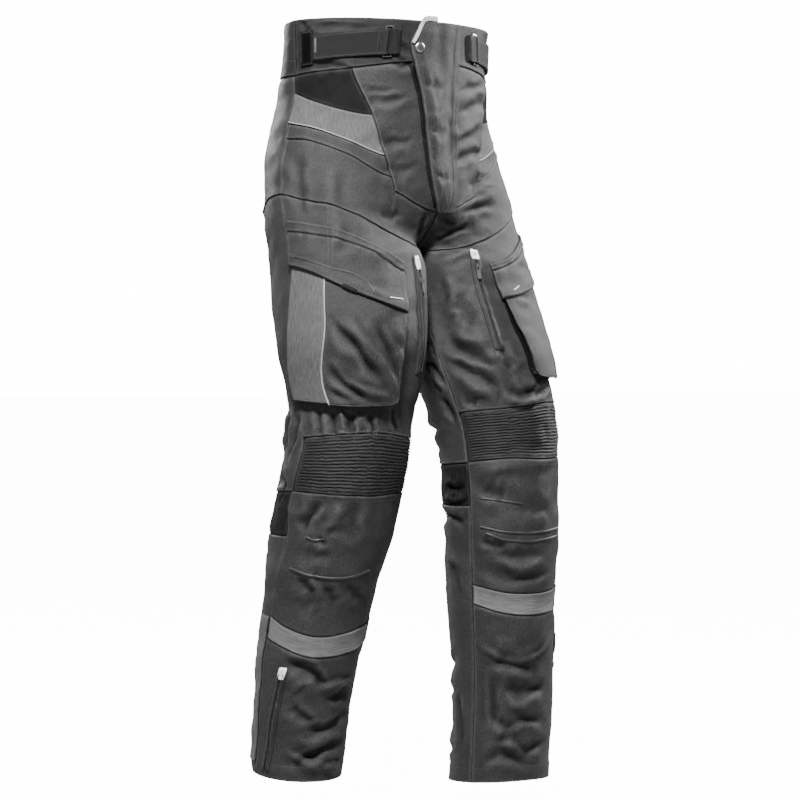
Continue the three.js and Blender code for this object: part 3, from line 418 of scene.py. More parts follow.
def creaseHeight(x, y, path, width, height):
    # a soft ridge (or trough, where height is below 0) along a line of places, uneven in width, tapered
    # to its ends, with a shallow counter-fold on each side
    path = np.asarray(path, float)
    steps = np.linalg.norm(np.diff(path, axis=0), axis=1)
    total = steps.sum()
    best = np.full(x.shape, 1e9)
    along = np.zeros(x.shape)
    off = np.zeros(x.shape)
    run = 0.0
    for k, (start, end) in enumerate(zip(path[:-1], path[1:])):
        d = (end - start) / steps[k]
        px, py = x - start[0], y - start[1]
        t = np.clip(px * d[0] + py * d[1], 0, steps[k])
        qx, qy = px - t * d[0], py - t * d[1]
        distance = np.hypot(qx, qy)
        nearer = distance < best
        best = np.where(nearer, distance, best)
        along = np.where(nearer, (run + t) / total, along)
        off = np.where(nearer, np.copysign(distance, qx * d[1] - qy * d[0]), off)
        run += steps[k]
    waver = 0.85 + 0.3 * np.sin(9.1 * along + path[0, 0]) * np.sin(4.3 * along + path[0, 1])
    w = width * waver * np.where(off > 0, 1 + folds["lean"], 1 - folds["lean"])
    taper = smoothStep(along * 4) * smoothStep((1 - along) * 4) * 0.85 + 0.15
    main = np.exp(-((off / w) ** 2))
    beside = 0.4 * np.exp(-(((off - 1.9 * w) / (1.1 * w)) ** 2))
    beside += 0.3 * np.exp(-(((off + 1.9 * w) / (1.1 * w)) ** 2))
    return height * taper * (main - beside)


def relief(side, turn, down):
    # height of the cloth over the plain form: the fullness at the inner thigh, the creases of the table,
    # and a soft unevenness everywhere
    turn, down = np.broadcast_arrays(np.asarray(turn, float), np.asarray(down, float))
    x, y = flat(side, turn, down)
    nearMiddle = np.minimum(turn, 1 - turn) / 0.03
    girth = fullness["girth"]
    (ax, ay), (bx, by) = [(a * girth, b) for a, b in fullness["path"]]
    px = turn * girth
    f = np.clip(((px - ax) * (bx - ax) + (down - ay) * (by - ay)) / ((bx - ax) ** 2 + (by - ay) ** 2), 0, 1)
    away = np.hypot(px - ax - f * (bx - ax), down - ay - f * (by - ay)) / fullness["halfWidth"]
    height = np.where(away < 1, fullness["height"] * (1 - np.clip(away, 0, 1) ** 2) ** 2, 0)
    height = np.where((turn > 0) & (turn < 1), height, 0)
    soft = np.zeros(turn.shape)
    for path, width, rise in creases[side] + creases["both"]:
        places = np.array([flat(side, *place) for place in path])
        low, high = places.min(0) - 4 * width, places.max(0) + 4 * width
        here = (x > low[0]) & (x < high[0]) & (y > low[1]) & (y < high[1])
        if here.any():
            limit = folds["steepest"] * width
            rise = float(np.clip(rise * folds["gain"], -limit, limit))
            soft[here] += creaseHeight(x[here], y[here], places, width, rise)
    shift = 0 if side == "right" else uneven["leftShift"]
    soft += uneven["broad"] * swell.at(x / 70 + shift, y / 46 + 5)
    soft += uneven["middle"] * swell.at(x / 31 + 0.35 * ripple.at(x / 50, y / 50) + shift, y / 21 + 17)
    soft += uneven["fine"] * ripple.at(x / 13 + shift, y / 10 + 9)
    return height + soft * smoothStep(nearMiddle)


def surface(side, turn, down, fold=1.0):
    # points of the cloth, with its relief times "fold", and the outward direction at each
    turn, down = np.broadcast_arrays(np.asarray(turn, float), np.asarray(down, float))
    points = form(side, turn, down)
    across = formOver(side, turn + 0.004, down) - formOver(side, turn - 0.004, down)
    along = form(side, turn, np.minimum(down + 2, hemDown)) - form(side, turn, down - 2)
    out = unit(np.cross(across, along)) * (-1 if side == "left" else 1)
    atMiddle = ((turn < 1e-6) | (turn > 1 - 1e-6)) & (down < crotchDown - 0.5)
    points[..., 0] = np.where(atMiddle, 0, points[..., 0])
    out[..., 0] = np.where(atMiddle, 0, out[..., 0])
    out = np.where(atMiddle[..., None], unit(out), out)
    return points + out * (relief(side, turn, down) * fold)[..., None], out


def lineDown(k, side, turn):
    name, front, back, _, *own = lines[k]
    xs, ys = np.array(own[0] if own and side == "left" else front, float).T
    f = np.clip((turn - 0.5) * 2, 0, 1)
    behind = ys[-1] + (back - ys[-1]) * f * f * (3 - 2 * f)
    return np.where(turn <= 0.5, curve(xs, ys, turn), behind)


def rowDown(side, row, turn):
    # depth of a part-way row at a turn: between the two named lines round it
    row, turn = np.broadcast_arrays(np.asarray(row, float), np.asarray(turn, float))
    k = np.clip(np.searchsorted(linePlace, row, side="right") - 1, 0, len(lines) - 2)
    down = np.zeros(turn.shape)
    for index in np.unique(k):
        here = k == index
        f = (row[here] - linePlace[index]) / (linePlace[index + 1] - linePlace[index])
        down[here] = lineDown(index, side, turn[here]) * (1 - f) + lineDown(index + 1, side, turn[here]) * f
    return down


def frontTurn(side, col, down):
    centre, strip = column(frontLines, side, down), column(frontLines, "strip", down)
    c, s, e = frontColumns["centre"], frontColumns["strip"], frontColumns["side"]
    inner = centre * col / c
    mid = centre + (strip - centre) * (col - c) / (s - c)
    outer = strip + (0.5 - strip) * (col - s) / (e - s)
    return np.where(col <= c, inner, np.where(col <= s, mid, outer))


def lattice(side, area, rows, cols):
    # turn and down at each pair of part-way rows and columns, or at each place of two equal nets of them
    row, col = np.asarray(rows, float), np.asarray(cols, float)
    if col.ndim == 1:
        row, col = np.meshgrid(row, col, indexing="ij")
    if area == "back":
        turn = 0.5 + 0.5 * col / backColumns
        return turn, rowDown(side, row, turn)
    turn = 0.5 * col / frontColumns["side"]
    # turn and depth depend on each other, and settle in a few rounds
    for _ in range(12):
        turn = frontTurn(side, col, rowDown(side, row, turn))
    return turn, rowDown(side, row, turn)


def gridPlace(side, area, turn, down):
    # part-way row and column of places given by turn and down
    turn, down = np.broadcast_arrays(np.asarray(turn, float), np.asarray(down, float))
    if area == "back":
        col = (turn - 0.5) * 2 * backColumns
    else:
        centre, strip = column(frontLines, side, down), column(frontLines, "strip", down)
        c, s, e = frontColumns["centre"], frontColumns["strip"], frontColumns["side"]
        mid = c + (turn - centre) / (strip - centre) * (s - c)
        outer = s + (turn - strip) / (0.5 - strip) * (e - s)
        col = np.where(turn <= centre, turn / centre * c, np.where(turn <= strip, mid, outer))
    depths = np.stack([lineDown(k, side, turn) for k in range(len(lines))])
    k = np.clip((depths <= down).sum(0) - 1, 0, len(lines) - 2)
    low = np.take_along_axis(depths, k[None], 0)[0]
    high = np.take_along_axis(depths, k[None] + 1, 0)[0]
    return linePlace[k] + (down - low) / (high - low) * (linePlace[k + 1] - linePlace[k]), col


millimetre = 0.001
rootBody = "trousers"


def addMesh(name, points, faces, finishes, faceMaterial=None, uv=None, values=None):
    # a mesh that rides the trousers; "finishes" names its materials, one word each
    mesh = bpy.data.meshes.new(name)
    groups = faces if isinstance(faces, list) else [faces]
    mesh.from_pydata((np.asarray(points) * millimetre).tolist(), [], [f for g in groups for f in g.tolist()])
    mesh.polygons.foreach_set("use_smooth", np.ones(len(mesh.polygons), bool))
    for key in finishes.split():
        mesh.materials.append(materials[key])
    if faceMaterial is not None:
        mesh.polygons.foreach_set("material_index", np.asarray(faceMaterial, np.int32))
    if uv is not None:
        corner = np.zeros(len(mesh.loops), np.int32)
        mesh.loops.foreach_get("vertex_index", corner)
        layer = mesh.uv_layers.new(name="clothPlace")
        layer.data.foreach_set("uv", (np.asarray(uv) * millimetre)[corner].astype(np.float32).ravel())
    for key, amounts in (values or {}).items():
        attribute = mesh.attributes.new(key, "FLOAT", "POINT")
        attribute.data.foreach_set("value", np.asarray(amounts, np.float32).ravel())
    mesh.update()
    obj = bpy.data.objects.new(name, mesh)
    bpy.context.scene.collection.objects.link(obj)
    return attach(obj, rootBody)


def shellFaces(mask, flip, band=None):
    # quads of an outer and an inner net with the same cells, and the walls between them round each edge
    n, m = mask.shape[0] + 1, mask.shape[1] + 1
    ids = np.arange(n * m).reshape(n, m)
    corners = [ids[:-1, :-1], ids[:-1, 1:], ids[1:, 1:], ids[1:, :-1]]
    outer = np.stack([c[mask] for c in corners], -1)
    inner = outer[:, ::-1] + n * m
    around = np.pad(mask, 1)
    beside = [around[:-2, 1:-1], around[1:-1, 2:], around[2:, 1:-1], around[1:-1, :-2]]
    rims = []
    for k in range(4):
        edge = mask & ~beside[k]
        p, q = corners[k][edge], corners[(k + 1) % 4][edge]
        rims.append(np.stack([q, p, p + n * m, q + n * m], -1))
    faces = np.concatenate([outer, inner, *rims])
    slots = np.repeat([0, 1, 0], [len(outer), len(inner), len(faces) - 2 * len(outer)])
    if band is not None:
        slots[:len(outer)] = np.where(band[mask], 2, 0)
    return (faces[:, ::-1] if flip else faces), slots


def dropUnused(points, faces, *values):
    used = np.unique(faces)
    place = np.zeros(len(points), int)
    place[used] = np.arange(len(used))
    return (points[used], place[faces], *[v[used] for v in values])


def gridNormals(points, flip):
    # outward direction at each point of a net: across its columns, turned against down its rows
    out = unit(np.cross(np.gradient(points, axis=1), np.gradient(points, axis=0)))
    return -out if flip else out


def ridges(points, out):
    # how much the cloth bulges, above 0 on a ridge and below 0 in a trough: the turn of its normal along
    # the rows and the columns for each millimetre gone
    total = np.zeros(points.shape[:2])
    for axis in (0, 1):
        step, turned = np.gradient(points, axis=axis), np.gradient(out, axis=axis)
        total += (step * turned).sum(-1) / np.maximum((step * step).sum(-1), 0.04)
    return np.clip(total * 5, -1, 1)


def arcs(points, axis):
    step = np.linalg.norm(np.diff(points, axis=axis), axis=-1)
    return np.insert(np.cumsum(step, axis=axis), 0, 0, axis=axis)


edgeSteps = (0, 0.5, 1.1, 1.9, 3.0, 4.5, 6.5)


def graded(total, spacing):
    # distances over a piece: close together at both edges and evenly apart between
    near = np.array([v for v in edgeSteps if v < total * 0.4])
    steps = max(int(math.ceil((total - 2 * near[-1]) / spacing)), 1)
    middle = np.linspace(near[-1], total - near[-1], steps + 1)
    return np.concatenate([near[:-1], middle, total - near[-2::-1]]) if len(near) > 1 else middle


def gradedParams(side, area, rows, cols, spacing):
    # part-way rows and columns for graded distances, measured down and across the middle of the piece
    rowMiddle = (rows[0] + rows[-1]) / 2
    colMiddle = (cols[0] + cols[-1]) / 2
    found = []
    for limits, fixed, isRow in ((rows, colMiddle, True), (cols, rowMiddle, False)):
        params = []
        for low, high in zip(limits[:-1], limits[1:]):
            dense = np.linspace(low, high, 120)
            place = lattice(side, area, dense, [fixed]) if isRow else lattice(side, area, [fixed], dense)
            arc = arcs(form(side, *place), 0 if isRow else 1).ravel()
            part = np.interp(graded(arc[-1], spacing), arc, dense)
            params.append(part if not params else part[1:])
        found.append(np.concatenate(params))
    return found


def edgeHeight(kind, d):
    # how the cloth rises or sinks at a distance from its edge: lapped over its neighbour, tucked under it,
    # butted, or turned in at an opening
    if kind == "over":
        return 0.75 * np.exp(-((d / 6.0) ** 2)) - 0.95 * np.exp(-((d / 0.7) ** 2))
    if kind == "under":
        return -1.25 * np.exp(-((d / 2.4) ** 2))
    if kind == "turned":
        return 0.35 * smoothStep((21 - d) / 3) - 0.5 * np.exp(-((d / 0.8) ** 2))
    return -0.6 * np.exp(-((d / 0.9) ** 2))


puckers = {"over": 0.26, "under": 0.34, "turned": 0.22, "butted": 0.2}
shellWall = 1.4


def makeNet(side, area, rows, cols, spacing, cut, edges, extra):
    # the net of a cut piece: its points on the form with relief, its distances from each edge, and normals
    rowParams, colParams = gradedParams(side, area, rows, cols, spacing)
    turn, down = lattice(side, area, rowParams, colParams)
    base, out = surface(side, turn, down)
    mask = None
    if cut is not None:
        cellRow = (rowParams[:-1] + rowParams[1:])[:, None] / 2
        cellCol = (colParams[:-1] + colParams[1:])[None, :] / 2
        mask = ~((cellRow < cut["row"]) & (cellCol < cut["col"]))
    return finishNet(side, area, rowParams, colParams, turn, down, base, out, edges, extra, mask)


def finishNet(side, area, rowParams, colParams, turn, down, base, out, edges="", extra=None, mask=None):
    # adds the height of the edges' kinds (top, bottom, inner, outer) and of the extra to a net, and notes its
    # distances from each edge and its directions
    if mask is None:
        mask = np.ones((turn.shape[0] - 1, turn.shape[1] - 1), bool)
    used = np.zeros(turn.shape, bool)
    for i in (slice(None, -1), slice(1, None)):
        for j in (slice(None, -1), slice(1, None)):
            used[i, j] |= mask
    acrossArc, downArc = arcs(base, 1), arcs(base, 0)
    firstRow, lastRow = used.argmax(0), used.shape[0] - 1 - used[::-1].argmax(0)
    firstCol, lastCol = used.argmax(1), used.shape[1] - 1 - used[:, ::-1].argmax(1)
    column0, row0 = np.arange(used.shape[1]), np.arange(used.shape[0])
    distance = {
        "top": downArc - downArc[firstRow, column0][None, :],
        "bottom": downArc[lastRow, column0][None, :] - downArc,
        "inner": acrossArc - acrossArc[row0, firstCol][:, None],
        "outer": acrossArc[row0, lastCol][:, None] - acrossArc,
    }
    x, y = flat(side if side != "both" else "right", turn, down)
    rise = np.zeros(turn.shape)
    kinds = dict(zip(distance, edges.split()))
    for edge, d in distance.items():
        kind = kinds.get(edge, "butted")
        held = np.maximum(d, 0)
        rise += edgeHeight(kind, held)
        if edge in ("top", "bottom"):
            wave = ripple.at(x / 8.5 + 3, y / 30 + 2)
        else:
            wave = ripple.at(x / 30 + 40, y / 8.5 + 7)
        rise += puckers[kind] * wave * np.exp(-held / 8) * smoothStep(held / 1.5)
    if extra is not None:
        row, col = np.meshgrid(rowParams, colParams, indexing="ij")
        rise += extra(row, col, x, y, distance)
    points = base + out * rise[..., None]
    flip = side == "left"
    return {"side": side, "area": area, "rows": rowParams, "cols": colParams, "mask": mask, "turn": turn,
            "down": down, "base": base, "points": points, "out": gridNormals(points, flip), "plain": out,
            "distance": distance, "flip": flip, "u": acrossArc - acrossArc[:, [acrossArc.shape[1] // 2]],
            "v": downArc}


def netArea(points, mask):
    a, b, c, d = points[:-1, :-1], points[:-1, 1:], points[1:, 1:], points[1:, :-1]
    return (np.linalg.norm(np.cross(c - a, d - b), axis=-1) / 2)[mask].sum()


cuts = {}
leastSheet = {"side": 0.0102, "fill": 0.31}  # metres, and share of the flat rectangle


def addCloth(name, net, finishes, replaces=(), wall=shellWall, inner=None):
    # a thin closed shell: the net, the same net a wall's thickness inside it, and the edges between them
    outer = net["points"]
    inside = net["base"] - net["plain"] * wall if inner is None else inner
    faces, slots = shellFaces(net["mask"], net["flip"], net.get("band"))
    points = np.concatenate([outer.reshape(-1, 3), inside.reshape(-1, 3)])
    uv = np.tile(np.stack([net["u"].ravel(), net["v"].ravel()], -1), (2, 1))
    nearest = np.minimum.reduce(list(net["distance"].values())).ravel()
    nearest = np.tile(np.maximum(nearest, 0), 2)
    bulge = np.tile(ridges(outer, gridNormals(outer, net["flip"])).ravel(), 2)
    points, faces, uv, nearest, bulge = dropUnused(points, faces, uv, nearest, bulge)
    # the bulge goes to the materials, which paint shade into troughs and highlight onto ridges from it
    values = {"seamDistance": nearest, "ridge": bulge}
    obj = addMesh(name, points, faces, finishes, slots, uv, values)
    if replaces:
        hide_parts(*replaces)
    area = netArea(outer, net["mask"]) * millimetre**2
    width = max(arcs(outer, 1)[:, -1].max() * millimetre, leastSheet["side"])
    length = max(arcs(outer, 0)[-1].max() * millimetre, leastSheet["side"])
    area = min(max(area, leastSheet["fill"] * width * length), width * length)
    cuts[name] = (round(width, 3), round(length, 3), round(area, 4))
    return obj


def sampleNet(values, i, j):
    # values between the four nearest points of a net
    a = np.clip(np.floor(i).astype(int), 0, values.shape[0] - 2)
    b = np.clip(np.floor(j).astype(int), 0, values.shape[1] - 2)
    f, g = (i - a)[:, None], (j - b)[:, None]
    top = values[a, b] * (1 - g) + values[a, b + 1] * g
    return top * (1 - f) + (values[a + 1, b] * (1 - g) + values[a + 1, b + 1] * g) * f


def edgeLine(net, edge, distance, ends=(2.0, 2.0)):
    # the line on a net at a distance from one of its edges, kept clear of the two edges beside it
    d = net["distance"][edge]
    n, m = d.shape
    if edge in ("top", "bottom"):
        j = np.arange(m, dtype=float)
        order = slice(None) if edge == "top" else slice(None, None, -1)
        index = np.arange(n)[order]
        i = np.array([np.interp(distance, d[order, k], index) for k in range(m)])
        first, second = "inner", "outer"
    else:
        i = np.arange(n, dtype=float)
        order = slice(None) if edge == "inner" else slice(None, None, -1)
        index = np.arange(m)[order]
        j = np.array([np.interp(distance, d[k, order], index) for k in range(n)])
        first, second = "top", "bottom"
    clear = sampleNet(net["distance"][first][..., None], i, j)[:, 0] >= ends[0]
    clear &= sampleNet(net["distance"][second][..., None], i, j)[:, 0] >= ends[1]
    i, j = i[clear], j[clear]
    if len(i) < 2:
        return None
    return sampleNet(net["points"], i, j), sampleNet(net["out"], i, j)


def placeLine(net, places, step=1.5, offset=0.0):
    # the line on a net through (turn, down) places, moved sideways by the offset
    places = np.asarray(places, float)
    x, y = flat(net["side"], places[:, 0], places[:, 1])
    arc = np.insert(np.cumsum(np.hypot(np.diff(x), np.diff(y))), 0, 0)
    along = np.arange(0, arc[-1] + step / 2, step)
    px, py = curve(arc, x, along), curve(arc, y, along)
    dx, dy = np.gradient(px), np.gradient(py)
    length = np.hypot(dx, dy)
    px, py = px + offset * dy / length, py - offset * dx / length
    turn = px / np.interp(py, girthDowns, girths[net["side"]]) + 0.5
    row, col = gridPlace(net["side"], net["area"], turn, py)
    inside = (row >= net["rows"][0]) & (row <= net["rows"][-1])
    inside &= (col >= net["cols"][0]) & (col <= net["cols"][-1])
    row, col = row[inside], col[inside]
    if len(row) < 2:
        return None
    i = np.interp(row, net["rows"], np.arange(len(net["rows"])))
    j = np.interp(col, net["cols"], np.arange(len(net["cols"])))
    return sampleNet(net["points"], i, j), sampleNet(net["out"], i, j)


threads = {}
stitch = {"pitch": 3.4, "length": 2.6, "halfWidth": 0.3, "height": 0.34}


def sew(group, line):
    # notes the middle and directions of each stitch along a line
    if line is None:
        return
    points, normals = line
    arc = np.insert(np.cumsum(np.linalg.norm(np.diff(points, axis=0), axis=1)), 0, 0)
    count = int(arc[-1] / stitch["pitch"])
    if count < 1:
        return
    at = (np.arange(count) + 0.5) * stitch["pitch"]

    def along(values, s):
        return np.stack([np.interp(s, arc, values[:, k]) for k in range(3)], -1)

    centre = along(points, at)
    run = unit(along(points, at + 1) - along(points, at - 1))
    up = along(normals, at)
    up = unit(up - run * (up * run).sum(-1, keepdims=True))
    lengths = np.full(count, stitch["length"])
    threads.setdefault(group, []).append((centre, run, np.cross(up, run), up, lengths))


def sewEdges(group, net, plan):
    for edge, distances in plan.items():
        for d in distances:
            sew(group, edgeLine(net, edge, d))


def addThreads(name, group, finish):
    # each stitch is a small lozenge of two rings and two tips
    centre, run, side, up, length = [np.concatenate(parts) for parts in zip(*threads[group])]
    w, h = stitch["halfWidth"], stitch["height"]
    shape = [(-0.5, 0, -0.12)]
    for x in (-0.27, 0.27):
        shape += [(x, w, 0.06), (x, 0, h), (x, -w, 0.06), (x, 0, -0.25)]
    shape = np.array(shape + [(0.5, 0, -0.12)])
    points = (centre[:, None] + run[:, None] * (shape[None, :, :1] * length[:, None, None])
              + side[:, None] * shape[None, :, 1:2] + up[:, None] * shape[None, :, 2:3])
    tris = [(0, 1 + k, 1 + (k + 1) % 4) for k in range(4)] + [(9, 5 + (k + 1) % 4, 5 + k) for k in range(4)]
    quads = [(1 + k, 5 + k, 5 + (k + 1) % 4, 1 + (k + 1) % 4) for k in range(4)]
    start = (np.arange(len(centre)) * 10)[:, None, None]
    faces = [(np.array(tris)[None] + start).reshape(-1, 3), (np.array(quads)[None] + start).reshape(-1, 4)]
    return addMesh(name, points.reshape(-1, 3), faces, finish)


def addTube(name, line, halfWidth, halfHeight, finish, sides=8, lift=0.0):
    # an oval rod along a line, its cross-section given by half a width and half a height, closed at its ends
    points, normals = line
    run = unit(np.gradient(points, axis=0))
    up = unit(normals - run * (normals * run).sum(-1, keepdims=True))
    beside = np.cross(up, run)
    angle = np.linspace(0, 2 * math.pi, sides, endpoint=False)
    scale = np.ones(len(points))
    scale[[0, -1]] = 0.6
    middle = points + up * lift
    sideways = np.cos(angle)[None, :, None] * halfWidth * scale[:, None, None]
    upwards = np.sin(angle)[None, :, None] * halfHeight * scale[:, None, None]
    ring = middle[:, None] + beside[:, None] * sideways + up[:, None] * upwards
    n = len(points)
    ids = np.arange(n * sides).reshape(n, sides)
    nextIds = np.roll(ids, -1, axis=1)
    quads = np.stack([ids[:-1], nextIds[:-1], nextIds[1:], ids[1:]], -1).reshape(-1, 4)
    firstCap = np.stack([ids[0], np.full(sides, n * sides), nextIds[0]], -1)
    lastCap = np.stack([ids[-1], np.full(sides, n * sides + 1), nextIds[-1]], -1)[:, ::-1]
    everything = np.concatenate([ring.reshape(-1, 3), middle[[0, -1]]])
    return addMesh(name, everything, [quads, np.concatenate([firstCap, lastCap])], finish,
                   uv=everything[:, [0, 2]], values={"seamDistance": np.full(len(everything), 20.0)})


def newGroup(name, inputs, outputs):
    group = bpy.data.node_groups.new(name, "ShaderNodeTree")
    for label, kind, value in inputs:
        socket = group.interface.new_socket(name=label, in_out="INPUT", socket_type=kind)
        if value is not None:
            socket.default_value = value
    for label, kind in outputs:
        group.interface.new_socket(name=label, in_out="OUTPUT", socket_type=kind)
    entry, leave = group.nodes.new("NodeGroupInput"), group.nodes.new("NodeGroupOutput")
    return group, entry.outputs, leave.inputs


class Wiring:
    # places nodes in a tree and links them by what feeds each input
    def __init__(self, tree):
        self.tree = tree
        self.count = 0

    def node(self, kind, settings=None, **inputs):
        node = self.tree.nodes.new(kind)
        node.location = (220 * (self.count % 8), -260 * (self.count // 8))
        self.count += 1
        for key, value in (settings or {}).items():
            setattr(node, key, value)
        for key, value in inputs.items():
            self.feed(node.inputs[key.replace("_", " ")], value)
        return node

    def feed(self, socket, value):
        if isinstance(value, bpy.types.NodeSocket):
            self.tree.links.new(value, socket)
        else:
            socket.default_value = value

    def math(self, operation, a, b=None, clamp=False):
        node = self.node("ShaderNodeMath", {"operation": operation, "use_clamp": clamp})
        self.feed(node.inputs[0], a)
        if b is not None:
            self.feed(node.inputs[1], b)
        return node.outputs[0]

    def mix(self, share, a, b, blend="MIX"):
        node = self.node("ShaderNodeMix", {"data_type": "RGBA", "blend_type": blend})
        self.feed(node.inputs[0], share)
        self.feed(node.inputs[6], a)
        self.feed(node.inputs[7], b)
        return node.outputs[2]

    def noise(self, vector, scale, detail=2.0, roughness=0.5):
        node = self.node("ShaderNodeTexNoise", Vector=vector, Scale=scale, Detail=detail, Roughness=roughness)
        return node.outputs[0]


def weaveGroup():
    # warp and weft threads as two rows of soft waves, each lifted where the other dips
    group, given, made = newGroup("clothWeave", [
        ("Place", "NodeSocketVector", None),
        ("Threads per metre", "NodeSocketFloat", 1400.0),
        ("Slub", "NodeSocketFloat", 0.4),
    ], [("Height", "NodeSocketFloat"), ("Slub mask", "NodeSocketFloat")])
    w = Wiring(group)
    parts = w.node("ShaderNodeSeparateXYZ", Vector=given["Place"])
    angle = w.math("MULTIPLY", given["Threads per metre"], math.pi)
    along = w.math("MULTIPLY", parts.outputs[0], angle)
    down = w.math("MULTIPLY", parts.outputs[1], angle)
    warp = w.math("MULTIPLY", w.math("SINE", along), w.math("COSINE", down))
    weft = w.math("MULTIPLY", w.math("COSINE", along), w.math("SINE", down))
    threadsHeight = w.math("MAXIMUM", w.math("ABSOLUTE", warp), w.math("ABSOLUTE", weft))
    stretchAlong = w.node("ShaderNodeMapping", Vector=given["Place"], Scale=(1.0, 0.06, 1.0)).outputs[0]
    stretchDown = w.node("ShaderNodeMapping", Vector=given["Place"], Scale=(0.06, 1.0, 1.0)).outputs[0]
    slub = w.math("ADD", w.noise(stretchAlong, 900.0, 2.0), w.noise(stretchDown, 900.0, 2.0))
    slub = w.math("MULTIPLY", w.math("SUBTRACT", slub, 1.0), given["Slub"])
    w.feed(made["Height"], w.math("ADD", threadsHeight, slub))
    w.feed(made["Slub mask"], w.math("ADD", slub, 0.5, clamp=True))
    return group


def buildSeamShadeAndWear():
    # broad and fine mottling of the colour, a painted shadow line in each seam, and a lighter patchy band
    # beside it, part rub wear and part painted highlight
    group, given, made = newGroup("softWear", [
        ("Place", "NodeSocketVector", None),
        ("Seam distance", "NodeSocketFloat", 20.0),
        ("Mottle", "NodeSocketFloat", 0.25),
    ], [("Shade", "NodeSocketFloat"), ("Rub", "NodeSocketFloat"), ("Seam", "NodeSocketFloat")])
    w = Wiring(group)
    broad = w.math("SUBTRACT", w.noise(given["Place"], 14.0, 3.0, 0.55), 0.5)
    fine = w.math("SUBTRACT", w.noise(given["Place"], 420.0, 3.0, 0.7), 0.5)
    mottled = w.math("ADD", broad, w.math("MULTIPLY", fine, 0.8))
    shade = w.math("ADD", w.math("MULTIPLY", mottled, given["Mottle"]), 1.0)
    # the seam mask: a painted shadow line along each seam
    seam = w.math("SUBTRACT", 1.0, w.math("DIVIDE", given["Seam distance"], 1.7), clamp=True)
    # a patchy lighter band within 5 mm of each seam: part rub wear, part painted highlight on the seam's
    # raised edge
    near = w.math("SUBTRACT", 1.0, w.math("DIVIDE", given["Seam distance"], 5.0), clamp=True)
    rubAndHighlightPatches = w.math("MULTIPLY", near, w.noise(given["Place"], 90.0, 2.0, 0.6))
    # Shade: the mottle, with the painted seam shadow taken off
    w.feed(made["Shade"], w.math("SUBTRACT", shade, w.math("MULTIPLY", seam, 0.75)))
    w.feed(made["Rub"], rubAndHighlightPatches)
    w.feed(made["Seam"], seam)
    return group


weave = weaveGroup()
seamShadeAndWearGroup = buildSeamShadeAndWear()


def newMaterial(name):
    material = bpy.data.materials.new(name)
    material.use_nodes = True
    material.node_tree.nodes.clear()
    return material, Wiring(material.node_tree)


def finishMaterial(w, shader):
    out = w.node("ShaderNodeOutputMaterial")
    w.feed(out.inputs[0], shader.outputs[0])


def clothMaterial(name, look):
    # woven cloth: mottled colour with slubs, painted shadow in its seams, a lighter band beside them that is
    # part wear and part painted highlight, painted fold shade and highlight, and a weave bump
    material, w = newMaterial(name)
    place = w.node("ShaderNodeUVMap", {"uv_map": "clothPlace"}).outputs[0]
    seam = w.node("ShaderNodeAttribute", {"attribute_name": "seamDistance"}).outputs[2]
    threadsNode = w.node("ShaderNodeGroup", {"node_tree": weave}, Place=place,
                         Threads_per_metre=look["threads"], Slub=look["slub"])
    worn = w.node("ShaderNodeGroup", {"node_tree": seamShadeAndWearGroup}, Place=place,
                  Seam_distance=seam, Mottle=look["mottle"])
    colour = w.mix(threadsNode.outputs[1], look["dark"], look["light"])
    # lighter colour beside the seams: part rub wear, part painted highlight
    colour = w.mix(w.math("MULTIPLY", worn.outputs[1], look["rub"]), colour, look["worn"])
    # painted shade in the troughs of folds and painted highlight on their ridges, from the cloth's bulge
    ridge = w.node("ShaderNodeAttribute", {"attribute_name": "ridge"}).outputs[2]
    paintedRidgeShadeAndHighlight = w.math("MULTIPLY", ridge, look["ridge"])
    lit = w.math("MAXIMUM", w.math("ADD", paintedRidgeShadeAndHighlight, 1.0), 0.2)
    tone = w.math("MULTIPLY", worn.outputs[0], lit)
    shade = w.node("ShaderNodeCombineColor", Red=tone, Green=tone, Blue=tone)
    if "streaks" in look:
        stretched = w.node("ShaderNodeMapping", Vector=place, Scale=look["streaks"]).outputs[0]
        streak = w.node("ShaderNodeValToRGB", Fac=w.noise(stretched, 1.0, 4.0, 0.75))
        streak.color_ramp.elements[0].position = 0.34
        streak.color_ramp.elements[1].position = 0.66
        colour = w.mix(w.math("MULTIPLY", streak.outputs[0], look["heather"]), colour, look["fleck"])
    colour = w.mix(1.0, colour, shade.outputs[0], "MULTIPLY")
    bump = w.node("ShaderNodeBump", Height=threadsNode.outputs[0], Distance=look["bump"],
                  Strength=look["relief"])
    rough = w.math("ADD", w.math("MULTIPLY", threadsNode.outputs[1], 0.12), look["rough"])
    shader = w.node("ShaderNodeBsdfPrincipled", Base_Color=colour, Roughness=rough, Normal=bump.outputs[0])
    shader.inputs["Sheen Weight"].default_value = look["sheen"]
    shader.inputs["Sheen Roughness"].default_value = 0.45
    shader.inputs["Specular IOR Level"].default_value = look["gloss"]
    finishMaterial(w, shader)
    return material


def grey(value, warmth=0.0):
    return (value * (1 + warmth), value, value * (1 - warmth), 1.0)


